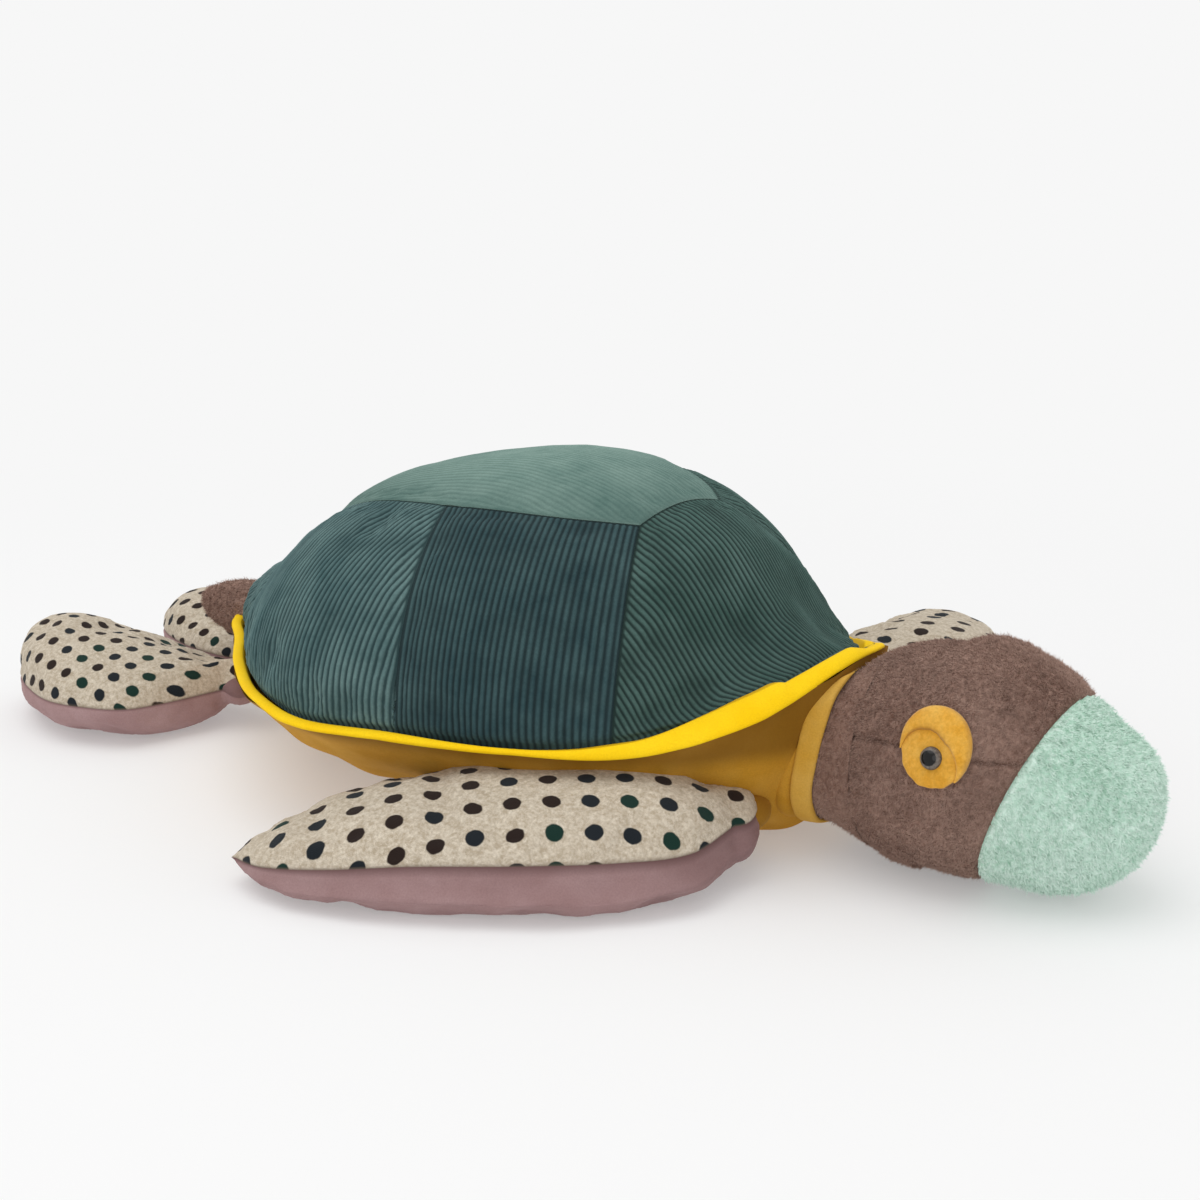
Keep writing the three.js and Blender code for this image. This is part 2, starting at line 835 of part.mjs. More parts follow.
// A flipper's lie and ranges, for a side of -1 (right) or 1 (left).
const lieOf = (spec, side) => (side < 0 ? spec.right : spec.left);

// How a flipper's own frame lies in the turtle's.
function flipperPlace(spec, side) {
  const heading = THREE.MathUtils.degToRad(lieOf(spec, side).heading);
  const raise = THREE.MathUtils.degToRad(lieOf(spec, side).raise);
  const position = new THREE.Vector3(spec.rootX, side * spec.rootY, spec.rootZ);
  const turn = new THREE.Euler(0, -raise, Math.PI - side * heading, 'ZYX');
  const matrix = new THREE.Matrix4().makeRotationFromEuler(turn).setPosition(position);
  return { raise, turn, position, matrix };
}

// Turns of a flipper about its root that its joints allow, as matrices in its own frame: each
// flap by itself, and each flap after each sweep.
function flipperTurns(spec, side) {
  const { back, forward, down, up } = lieOf(spec, side);
  const upright = new THREE.Vector3(0, 0, 1)
    .applyAxisAngle(new THREE.Vector3(0, 1, 0), flipperPlace(spec, side).raise);
  const range = (low, high) => {
    const steps = Array.from({ length: turnSteps }, (_, n) => (n + 1) / turnSteps);
    const degrees = [...steps.map((share) => share * low), 0, ...steps.map((share) => share * high)];
    return degrees.map(THREE.MathUtils.degToRad);
  };
  const flaps = range(-down, up).map((angle) => new THREE.Matrix4().makeRotationY(-angle));
  const turns = range(-back, forward).flatMap((angle) => {
    const sweep = new THREE.Matrix4().makeRotationAxis(upright, -side * angle);
    return flaps.map((flap) => sweep.clone().multiply(flap));
  });
  return { flaps, turns };
}

const keepOut = (depth) => join([bodyForm(-depth), neckForm(-depth), trimForm(-depth - clearance)]);

// The flipper's solid, drawn in by a depth, clear of the body wherever its joints take it.
function flipperForm(spec, shares, side, depth, obstacle, gusset) {
  const blade = bladeGeometry(spec, shares);
  if (side > 0) {
    blade.scale(1, -1, 1);
    blade.index.array.reverse();
  }
  const { matrix } = flipperPlace(spec, side);
  const toOwn = matrix.clone().invert();
  const { flaps, turns } = flipperTurns(spec, side);
  const turned = (solid, turn) => moveSolid(solid, turn.clone().invert());
  const ownObstacle = moveSolid(obstacle, toOwn);
  let solid = toSolid(inset(blade, depth));
  for (const turn of turns) {
    solid = solid.subtract(turned(ownObstacle, turn));
  }
  for (const turn of flaps) {
    solid = solid.subtract(turned(gusset, turn));
  }
  return mainBody(solid.add(ball(new THREE.Vector3(), spec.ball - depth)));
}

// A cap of cloth and filling between the ball and its socket, on the body's side.
function gussetForm(spec, extra) {
  const centre = new THREE.Vector3();
  const outer = ball(centre, spec.ball + clearance + gussetThickness + extra);
  const inner = hollowBall(centre, spec.ball + clearance - extra);
  const keep = box(
    new THREE.Vector3(-2 * spec.ball, -2 * spec.ball, -2 * spec.ball),
    new THREE.Vector3(extra - gussetEdgeShare * spec.ball, 2 * spec.ball, 2 * spec.ball),
  );
  return outer.subtract(inner).intersect(keep);
}

const socketOf = (spec, side) => hollowBall(
  flipperPlace(spec, side).position,
  spec.ball + gussetThickness + 2 * clearance,
);

function addFlipper(parent, kind, shares, side) {
  const spec = { ...kind, ...lieOf(kind, side) };
  const sideName = side < 0 ? 'right' : 'left';
  const name = `${spec.name}_${sideName}`;
  const { turn, position } = flipperPlace(spec, side);
  const group = new THREE.Group();
  group.position.copy(position);
  group.rotation.copy(turn);
  const form = (depth) => {
    const obstacle = keepOut(2 * clearance + depth);
    return flipperForm(spec, shares, side, depth, obstacle, gussetForm(spec, clearance + depth));
  };
  const floor = (lift) => {
    return moveSolid(belowFloor, new THREE.Matrix4().makeTranslation(0, 0, lift - spec.rootZ));
  };
  const inner = clothThickness + clearance;
  const lining = form(clothThickness).subtract(floor(clothThickness));
  const skin = form(0).subtract(floor(0)).subtract(lining);
  const core = form(inner).intersect(lining).subtract(floor(inner));
  const topSkin = skin.intersect(aboveSeam(spec, shares, clearance / 2));
  const bottomSkin = skin.subtract(aboveSeam(spec, shares, -clearance / 2));
  addMesh(group, `${name}_gusset`, gussetForm(spec, 0), materials.velour);
  addMesh(group, `${name}_stuffing`, core, materials.stuffing);
  addMesh(group, `${name}_top_cover`, topSkin, materials.dotted);
  addMesh(group, `${name}_bottom_cover`, bottomSkin, materials.mauve);
  parent.add(group);
}

// Tail: a stub of fur on a small ball behind the shell

const tailMiddle = new THREE.Vector3(tailX, 0, tailZ);

// An upright drum about the tail's own axis, between two heights.
function tailDrum(radius, low, high) {
  const geometry = new THREE.CylinderGeometry(radius, radius, high - low, ballSegments);
  geometry.rotateX(Math.PI / 2);
  geometry.translate(tailX, 0, (low + high) / 2);
  return toSolid(geometry);
}

// The stub stays outside drums that hold the end of the shell and of its trim, so it can wag.
function tailForm(depth) {
  const height = tailTop - tailBottom;
  const stub = new THREE.SphereGeometry(1, smallPoints, smallPoints);
  stub.rotateZ(Math.PI / 2);
  stub.scale(tailReach / 2 - depth, tailWidth / 2 - depth, height / 2 - depth);
  stub.translate(tailX - tailReach / 2, 0, (tailTop + tailBottom) / 2);
  const overTrim = tailZ - tailBall / 2 + depth;
  const blob = toSolid(stub)
    .subtract(tailDrum(tailShellGap + depth, -overrun, shellTop))
    .subtract(tailDrum(tailTrimGap + depth, -overrun, overTrim));
  const throat = lengthwiseBar(tailThroat / 2 - depth, tailX - tailReach / 2, tailX, tailZ);
  return mainBody(join([blob, ball(tailMiddle, tailBall - depth), throat]));
}

const tailSocket = hollowBall(tailMiddle, tailBall + clearance);

// Sockets in the body for everything that turns in it
const flipperSpecs = [
  [frontFlipper, frontFlipperShares],
  [rearFlipper, rearFlipperShares],
];
const sockets = join([
  headSocket,
  tailSocket,
  ...flipperSpecs.flatMap(([spec]) => [socketOf(spec, -1), socketOf(spec, 1)]),
]);

// Shell panels

function planPoint([along, out], side) {
  return new THREE.Vector2(alongShell(along), (side * out * shellWidth) / 2);
}

// An outline in plan, drawn in by a distance along each side.
function drawnIn(outline, distance) {
  const area = THREE.ShapeUtils.area(outline);
  const ordered = area < 0 ? [...outline].reverse() : outline;
  const count = ordered.length;
  const sideAt = (n) => {
    const start = ordered[(n + count) % count];
    const direction = ordered[(n + 1) % count].clone().sub(start).normalize();
    const inward = new THREE.Vector2(-direction.y, direction.x);
    return { start: start.clone().addScaledVector(inward, distance), direction };
  };
  return ordered.map((_, n) => {
    const first = sideAt(n - 1);
    const second = sideAt(n);
    const cross = first.direction.cross(second.direction);
    const offset = second.start.clone().sub(first.start);
    return first.start.clone().addScaledVector(first.direction, offset.cross(second.direction) / cross);
  });
}

function addShellPanels(group) {
  const skin = bodyForm(0).subtract(bodyForm(clothThickness))
    .intersect(aboveRim(trimThickness / 2 + clearance))
    .subtract(sockets)
    .subtract(neckForm(-clearance));
  const corner = (n, side) => planPoint(topCornerShares[n], side);
  const beyond = (n, side) => {
    const start = corner(n, side);
    return planPoint(seamEndShares[n], side).sub(start).setLength(2 * shellLength).add(start);
  };
  const panels = {
    top: [corner(0, -1), corner(0, 1), corner(1, 1), corner(2, 1), corner(2, -1), corner(1, -1)],
    front: [corner(0, -1), corner(0, 1), beyond(0, 1), beyond(0, -1)],
    rear: [corner(2, -1), corner(2, 1), beyond(2, 1), beyond(2, -1)],
    right: [corner(0, -1), corner(1, -1), beyond(1, -1), beyond(0, -1)],
    left: [corner(0, 1), corner(1, 1), beyond(1, 1), beyond(0, 1)],
    right_rear: [corner(1, -1), corner(2, -1), beyond(2, -1), beyond(1, -1)],
    left_rear: [corner(1, 1), corner(2, 1), beyond(2, 1), beyond(1, 1)],
  };
  for (const [name, outline] of Object.entries(panels)) {
    const prism = uprightPrism(drawnIn(outline, clearance / 2), -overrun, shellTop + overrun);
    addMesh(group, `shell_${name}_panel`, skin.intersect(prism), materials.corduroy);
  }
}

function addBody(group) {
  const neckRoom = neckForm(-clearance);
  const trimRoom = trimForm(-clearance);
  const inner = clothThickness + clearance;
  const trim = trimForm(0).subtract(neckRoom).subtract(sockets);
  addMesh(group, 'shell_trim', trim, materials.trim);
  const lining = bodyForm(clothThickness).intersect(aboveHeight(clothThickness));
  const belly = offFloor(bodyForm(0)).subtract(lining)
    .subtract(aboveRim(-trimThickness / 2 - clearance))
    .subtract(neckRoom).subtract(sockets).subtract(trimRoom);
  addMesh(group, 'belly_cover', belly, materials.velour);
  const core = bodyForm(inner).add(neckForm(inner)).intersect(aboveHeight(inner))
    .subtract(sockets).subtract(trimRoom);
  addMesh(group, 'body_stuffing', core, materials.stuffing);
}

// The collar is the neck's cover, with a cuff folded back over its front edge.
function addCollar(group) {
  const around = join([bodyForm(-clearance), sockets, trimForm(-clearance)]);
  const collar = neckForm(0).subtract(neckForm(clothThickness)).subtract(around);
  addMesh(group, 'collar', collar, materials.velour);
  const cuffReach = box(
    new THREE.Vector3(neckFront - cuffWidth, -shellWidth, -overrun),
    new THREE.Vector3(neckFront, shellWidth, shellTop),
  );
  const cuff = neckForm(-clothThickness - clearance).subtract(neckForm(-clearance))
    .intersect(cuffReach).subtract(around);
  addMesh(group, 'collar_cuff', cuff, materials.velour);
}

function addHead(group) {
  const inner = clothThickness + clearance;
  const lining = headForm(clothThickness).intersect(aboveHeight(clothThickness));
  const holes = join([-1, 1].map((side) => eyeHole(side, shankDiameter)));
  const skin = offFloor(headForm(0)).subtract(lining).subtract(holes);
  const face = skin.subtract(muzzleSide(-clearance / 2));
  const upper = face.intersect(aboveHeight(headSeamZ + clearance / 2));
  const lower = face.subtract(aboveHeight(headSeamZ - clearance / 2));
  addMesh(group, 'muzzle_cover', skin.intersect(muzzleSide(clearance / 2)), materials.boucle);
  addMesh(group, 'head_upper_cover', upper, materials.fur);
  addMesh(group, 'head_lower_cover', lower, materials.fur);
  const pockets = join([holes, washerPocket(-1, clearance), washerPocket(1, clearance)]);
  const core = headForm(inner).intersect(aboveHeight(inner)).subtract(pockets);
  addMesh(group, 'head_stuffing', core, materials.stuffing);
}

// Each eye's shank goes through patch, cover and filling to a washer that holds it.
function addEyes(group) {
  const patchSkin = headForm(-clothThickness - clearance).subtract(headForm(-clearance));
  const lidSkin = headForm(-eyeStack).subtract(headForm(-clothThickness - 2 * clearance));
  for (const [side, sideName] of [[-1, 'right'], [1, 'left']]) {
    const hole = eyeHole(side, shankDiameter);
    const patch = patchSkin.intersect(besideHead(side, patchOutline(1))).subtract(hole);
    const lid = lidSkin.intersect(besideHead(side, eyelidOutline()))
      .subtract(eyeHole(side, eyeDiameter));
    addMesh(group, `eye_patch_${sideName}`, patch, materials.felt);
    addMesh(group, `eyelid_${sideName}`, lid, materials.felt);
    addMesh(group, `eye_${sideName}`, eyeSolid(side), materials.plastic);
    addMesh(group, `eye_washer_${sideName}`, washerPocket(side, 0).subtract(hole), materials.plastic);
  }
}

// A cap of filling that turns with the head between its ball and the body's socket.
function addNeckCushion(group) {
  const outer = ball(headMiddle, headBall + clearance + neckCushionThickness, headSegments);
  const inner = hollowBall(headMiddle, headBall + clearance, headSegments);
  const keep = box(
    new THREE.Vector3(-shellLength, -shellWidth, -overrun),
    new THREE.Vector3(headX - neckCushionReach, shellWidth, shellTop),
  );
  addMesh(group, 'neck_cushion', outer.subtract(inner).intersect(keep), materials.stuffing);
}

function addTail(group) {
  const mouth = lengthwiseBar(tailMouth / 2, tailX, tailX + 2 * tailBall, tailZ);
  const cover = tailForm(0).subtract(tailForm(clothThickness)).subtract(mouth);
  addMesh(group, 'tail_cover', cover, materials.fur);
  addMesh(group, 'tail_stuffing', tailForm(clothThickness + clearance), materials.stuffing);
}

const turtle = new THREE.Group();
addShellPanels(turtle);
addBody(turtle);
addCollar(turtle);
addNeckCushion(turtle);
addHead(turtle);
addEyes(turtle);
for (const [spec, shares] of flipperSpecs) {
  addFlipper(turtle, spec, shares, -1);
  addFlipper(turtle, spec, shares, 1);
}
addTail(turtle);

export default turtle;
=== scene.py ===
import math

import bmesh
import bpy
import numpy as np
from mathutils import Matrix, Vector, kdtree


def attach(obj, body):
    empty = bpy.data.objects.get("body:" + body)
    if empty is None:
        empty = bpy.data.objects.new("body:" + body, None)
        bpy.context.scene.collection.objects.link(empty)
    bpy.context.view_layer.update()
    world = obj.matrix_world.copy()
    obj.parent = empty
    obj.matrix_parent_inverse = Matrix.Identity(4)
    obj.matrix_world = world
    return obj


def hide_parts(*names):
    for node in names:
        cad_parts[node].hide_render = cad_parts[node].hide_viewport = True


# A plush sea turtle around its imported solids. The frame is in metres, +X to the head and +Z up.
# Lengths below are in millimetres, and MM turns them into metres where a mesh is made.
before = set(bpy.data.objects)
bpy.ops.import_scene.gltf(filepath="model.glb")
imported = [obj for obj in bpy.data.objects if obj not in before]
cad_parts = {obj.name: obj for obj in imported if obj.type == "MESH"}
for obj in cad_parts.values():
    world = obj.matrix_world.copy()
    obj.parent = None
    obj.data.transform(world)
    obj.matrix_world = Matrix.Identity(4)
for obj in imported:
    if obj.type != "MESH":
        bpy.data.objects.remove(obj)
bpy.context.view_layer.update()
MM = 0.001
RNG = np.random.default_rng(7)

# Sizes, close to the part's source
CLOTH, TRIM_THICKNESS = 2.0, 3.0
SHELL_LENGTH, SHELL_WIDTH, SHELL_REAR = 370.0, 274.0, 194.0
SHELL_FRONT = SHELL_LENGTH - SHELL_REAR
RIM_HEIGHT, SHELL_TOP, BELLY_FULLNESS = 56.0, 160.0, 1.15
NECK_ROOT, NECK_WIDTH, NECK_TOP, NECK_BOTTOM = 105.0, 78.0, 85.0, 14.0
COLLAR_FRONT, CUFF_WIDTH, CUFF_SLANT = 177.0, 10.0, 12.0
NECK_FULLNESS, UNDER_RIM, NECK_WIDENING = 3.0, 4.0, (0.25, 0.1, -0.1)
HEAD_X, HEAD_Z, HEAD_BALL = 212.0, 48.0, 49.5
HEAD_REACH, HEAD_WIDTH, HEAD_TOP, HEAD_SEAM_Z = 93.0, 104.0, 102.0, 66.0
MUZZLE_TOP_REACH, MUZZLE_BOTTOM_REACH = 64.0, 26.0
EYE_X, EYE_Z, EYE_DIAMETER, EYE_BULGE = 229.0, 65.0, 9.5, 3.6
PATCH_WIDTH, PATCH_HEIGHT, PATCH_RISE = 29.5, 29.0, 3.0
TAIL_X, TAIL_REACH, TAIL_WIDTH = -190.0, 31.0, 32.0
TAIL_TOP, TAIL_BOTTOM, TAIL_INSIDE = 69.0, 36.0, 24.0
TAIL_TOP_FALL, TAIL_BOTTOM_RISE, TAIL_PILE, TAIL_SWELL, TAIL_TAPER = 9, 12, 2, 1.12, 0.55
# Place from the rear, half width, rim, ridge, flat, bottom, fullness of the dome.
BODY = np.array([
    [0, 0, 0.9, 0, 0, 0.9, 1.8], [0.04, 0.15, 0.93, 0.2, 0.03, 0.55, 1.8],
    [0.13, 0.39, 0.97, 0.36, 0.1, 0.16, 1.9], [0.22, 0.64, 0.98, 0.57, 0.2, 0, 1.95],
    [0.34, 0.89, 0.98, 0.82, 0.3, 0, 2.1], [0.45, 1, 0.96, 0.92, 0.34, 0, 2.2],
    [0.58, 0.98, 1, 0.965, 0.32, 0, 2.2], [0.7, 0.91, 1.01, 0.885, 0.27, 0, 2],
    [0.8, 0.785, 1.03, 0.71, 0.2, 0, 1.55], [0.87, 0.655, 1.08, 0.40, 0.14, 0.05, 1.2],
    [0.95, 0.45, 1.28, 0.02, 0.08, 0.3, 1.2], [1, 0, 1.56, 0.0, 0, 1.3, 1.25],
])
# Place from the rear, how far the trim covers the shell above the rim, how far it stands past it.
TRIM = np.array([
    [0, 0.6, 0.4], [0.3, 0.8, 0.4], [0.5, 1.6, 0.6], [0.7, 2.2, 0.8], [0.79, 2.4, 1.6], [0.83, 4.0, 1.7],
    [0.87, 6.5, 1.8], [0.91, 9.5, 1.2], [0.95, 10.0, 0.4], [0.985, 8.0, 0.4], [1, 7.0, 0.4],
])
TRIM_DROP, TRIM_LIFT, TRIM_ARCH, TRIM_ROUND = 1.7, 0.5, 0.1, 0.36
TRIM_POINT_FROM, TRIM_POINT_FADE, TRIM_POINT_RISE = 0.84, 0.08, 0.8
# The lengths and heights of the trim's waves.
TRIM_FLUTTER = ((55, 0.3), (20, 0.2))
# Across the trim: a share of its width, and of its thickness above and below its middle.
TRIM_OUTLINE = np.array([
    [-0.2, -3.4], [-0.2, -2.6], [0.0, 0.45], [0.08, 0.85], [0.3, 1.0], [0.6, 1.0], [0.85, 0.9],
    [0.96, 0.6], [1.0, 0.0], [0.96, -0.6], [0.85, -0.9], [0.5, -1.0], [0.2, -1.0],
])
# Place from the rear, and how far the shell's edge stands up there under the trim.
LIP = np.array([
    [0, 0], [0.875, 0.1], [0.892, 0.5], [0.913, 3.0], [0.933, 5.4], [0.95, 8.4], [0.965, 8.8], [1, 8.0],
])
LIP_REACH, LEFT_LIP, LEFT_FROM, LEFT_FADE = 18.0, 0.35, 6, 16
# How far the shell stands in from the rim behind its middle, and where that begins.
EDGE_INSET, INSET_FROM, INSET_FADE = 4.6, 0.5, 0.28
# The rim's left front corner sits this far further in than its right one, from these places on.
CORNER_PULL, PULL_FROM, PULL_FADE = np.array([-5.4, -3.7, 0]), (105, 8, 15), (50, 35, 45)
# Corners of the top panel and the ends of its seams on the rim: place from the rear, share out.
TOP_CORNERS = ((0.741, 0.24), (0.531, 0.51), (0.26, 0.27))
SEAM_ENDS = ((0.825, 0.739), (0.5836, 0.975), (0.14, 0.36))
EDGE_BULGE = 10.0
# Place from the ball's middle to the nose, half width, top, bottom.
HEAD = np.array([
    [0, 0.94, 0.945, 0], [0.15, 0.99, 0.995, 0], [0.32, 0.98, 0.975, 0], [0.48, 0.9, 0.91, 0],
    [0.62, 0.79, 0.83, 0.01], [0.76, 0.65, 0.745, 0.05], [0.88, 0.47, 0.67, 0.14], [0.96, 0.28, 0.59, 0.26],
    [1, 0, 0.46, 0.42],
])
# Place from root to tip, leading edge, trailing edge, top, bottom, seam.
FRONT_FLIPPER = np.array([
    [0, 0.33, -0.21, 0.76, 0.2, 0.56], [0.1, 0.55, -0.27, 0.93, 0.07, 0.49],
    [0.25, 0.64, -0.36, 1.0, 0.01, 0.5], [0.45, 0.64, -0.42, 0.97, 0, 0.51],
    [0.65, 0.55, -0.38, 0.87, 0.01, 0.48], [0.82, 0.42, -0.26, 0.68, 0.05, 0.39],
    [0.94, 0.23, -0.12, 0.44, 0.13, 0.3], [1, 0.02, -0.02, 0.26, 0.21, 0.24],
])
REAR_FLIPPER = np.array([
    [0, 0.12, -0.14, 0.68, 0.2, 0.42], [0.1, 0.42, -0.2, 0.7, 0.08, 0.42],
    [0.2, 0.62, -0.26, 0.74, 0.02, 0.42], [0.36, 0.68, -0.32, 0.83, 0, 0.42],
    [0.56, 0.66, -0.33, 0.94, 0, 0.42], [0.75, 0.5, -0.27, 1, 0.02, 0.42],
    [0.9, 0.3, -0.16, 0.88, 0.08, 0.42], [1, 0.06, -0.02, 0.5, 0.34, 0.42],
])
FRONT = dict(rows=FRONT_FLIPPER, root=(134.0, 50.0, 24.0), ball=19.0, length=206.0, width=88.0, behind=13.0,
             full=3.8, bulge=0.2, seam_lift=0.0, dots=(15.6, 3.7), dots_turn=0.0, dots_shift=(-6.0, 3.6))
REAR = dict(rows=REAR_FLIPPER, root=(-172.0, 30.0, 22.0), ball=14.0, length=126.0, width=92.0, behind=14.0,
            full=2.2, bulge=0.0, seam_lift=0.0, dots=(11.8, 3.0), dots_turn=12.0, dots_shift=(0.0, 0.0))
# Name of each flipper's body, its form, side, top, heading and raise in degrees.
FLIPPERS = (
    ("front_right", FRONT, -1, 48.0, 41.0, 0.0),
    ("front_left", FRONT, 1, 45.0, 79.0, 6.0),
    ("rear_right", REAR, -1, 50.0, 12.0, 0.0),
    ("rear_left", dict(REAR, seam_lift=0.14), 1, 42.0, 7.0, 0.0),
)
SIDES = {"right": -1, "left": 1}


# Small mathematics
def table_value(rows, column, share):
    """Smooth value of one column of a table whose first column rises."""
    share = np.clip(np.asarray(share, float), 0, 1)
    x, y = rows[:, 0], rows[:, column]
    after, before = np.append(y[1:], y[-1]), np.append(y[0], y[:-1])
    slope = (after - before) / (np.append(x[1:], x[-1]) - np.append(x[0], x[:-1]))
    right = np.clip(np.searchsorted(x, share), 1, len(x) - 1)
    left = right - 1
    span, rise = x[right] - x[left], y[right] - y[left]
    t = (share - x[left]) / span
    a, b = slope[left] * span - rise, rise - slope[right] * span
    return y[left] + t * rise + t * (1 - t) * (a * (1 - t) + b * t)


def round_value(rows, column, share):
    """Like table_value, with round ends where the column runs out to nothing."""
    squared = rows.copy()
    squared[:, column] **= 2
    return np.sqrt(np.maximum(table_value(squared, column, share), 0))


def signed_power(base, power):
    return np.sign(base) * np.abs(base) ** power


def ease(t):
    """0 below 0, 1 above 1 and smooth between."""
    t = np.clip(t, 0, 1)
    return t * t * (3 - 2 * t)


def unit(v):
    return v / np.maximum(np.linalg.norm(v, axis=-1, keepdims=True), 1e-9)


def crowded(count, low=0.0, high=math.pi):
    """Shares from 0 to 1 that crowd together at both ends."""
    return (1 - np.cos(np.linspace(low, high, count))) / 2


def around(count):
    """A row of angles all the way round."""
    return np.linspace(0, 2 * math.pi, count + 1)[None, :-1]


def crossing(places, values, k):
    """Where values pass 0 between their places k and k + 1."""
    return places[k] + (places[k + 1] - places[k]) * (values[k] / (values[k] - values[k + 1]))


def stacked(*coordinates):
    """Points from their coordinates."""
    return np.stack(np.broadcast_arrays(*coordinates), -1)


class Noise:
    """Smooth seeded noise in space: a few waves in random directions, about -1 to 1."""

    def __init__(self, length, waves=14):
        directions = unit(RNG.normal(size=(waves, 3)))
        self.k = directions * (2 * math.pi / length) * RNG.uniform(0.6, 1.5, (waves, 1))
        self.phase = RNG.uniform(0, 2 * math.pi, waves)

    def __call__(self, p):
        waves = np.sin(np.asarray(p) @ self.k.T + self.phase)
        return waves.sum(-1) / math.sqrt(2 * len(self.phase)) * 1.2


# Meshes
def grid_faces(grid, wrap=False, flip=False):
    rows, columns = grid.shape[:2]
    i, j = np.meshgrid(np.arange(rows - 1), np.arange(columns if wrap else columns - 1), indexing="ij")
    following = (j + 1) % columns
    quads = [i * columns + j, (i + 1) * columns + j, (i + 1) * columns + following, i * columns + following]
    faces = np.stack(quads, -1).reshape(-1, 4)
    return faces[:, ::-1] if flip else faces


def hoop_faces(sections):
    """Faces of a hoop through closed sections, the last joined to the first."""
    rows, columns = sections.shape[:2]
    return grid_faces(np.empty((rows + 1, columns)), wrap=True) % (rows * columns)


def grid_normals(grid, middle, wrap=False):
    """Unit normals of a grid of points, away from a middle, and whether its faces look inward."""
    across = np.roll(grid, -1, 1) - np.roll(grid, 1, 1) if wrap else np.gradient(grid, axis=1)
    normal = unit(np.cross(np.gradient(grid, axis=0), across))
    sign = np.sign((normal * (grid - middle)).sum(-1).mean())
    return normal * sign, sign < 0


def make_object(name, points, faces, material=None, values=None, smooth=True):
    """A mesh object from points in millimetres, with named values at its points."""
    mesh = bpy.data.meshes.new(name)
    points = np.asarray(points).reshape(-1, 3)
    mesh.from_pydata((points * MM).tolist(), [], faces.tolist() if isinstance(faces, np.ndarray) else faces)
    for key, value in (values or {}).items():
        value = np.asarray(value, np.float32)
        value = value.ravel() if value.ndim else np.full(len(points), value)
        kind, field = ("FLOAT", "value") if value.size == len(points) else ("FLOAT_VECTOR", "vector")
        mesh.attributes.new(key, kind, "POINT").data.foreach_set(field, value)
    if smooth:
        mesh.polygons.foreach_set("use_smooth", np.ones(len(mesh.polygons), bool))
    if material:
        mesh.materials.append(material)
    mesh.validate()
    made = bpy.data.objects.new(name, mesh)
    bpy.context.scene.collection.objects.link(made)
    return made


def add_piece(name, points, faces, look, values, body, *nodes, fill=None, weld=False, smooth=True):
    """A piece of one look on its body, and the solids that it stands for. Weld joins a pole's points."""
    slot, material = LOOKS[look]
    made = make_object(name, points, faces, material, values, smooth)
    if weld:
        work = bmesh.new()
        work.from_mesh(made.data)
        bmesh.ops.remove_doubles(work, verts=work.verts, dist=0.01 * MM)
        work.to_mesh(made.data)
        work.free()
    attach(made, body)
    if nodes:
        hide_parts(*nodes)


def search_tree(points):
    tree = kdtree.KDTree(len(points))
    for n, p in enumerate(points):
        tree.insert(p, n)
    tree.balance()
    return tree


def distances(points, line):
    """How far each point is from the nearest of a line's points."""
    tree = search_tree(line)
    return np.array([tree.find(p)[2] for p in points.reshape(-1, 3)]).reshape(points.shape[:-1])


# Stuffed skins
VOXEL, SIMULATED_FRAMES, PIN_REACH, SKIN_FADE, NEAR_POINTS = 6.0, 20, 5.0, 7.0, 4
CLOTH_QUALITY, TENSION, COMPRESSION, BENDING, PRESSURE = 6, 20, 8, 0.3, 4.0
# The share by which each skin's cloth grows and how far it may swell, and how deep the shell's is.
SHELL_GROWTH, FLIPPER_GROWTH, SKIN_DEPTH = (0.04, 2.0), (0.05, 1.8), 14


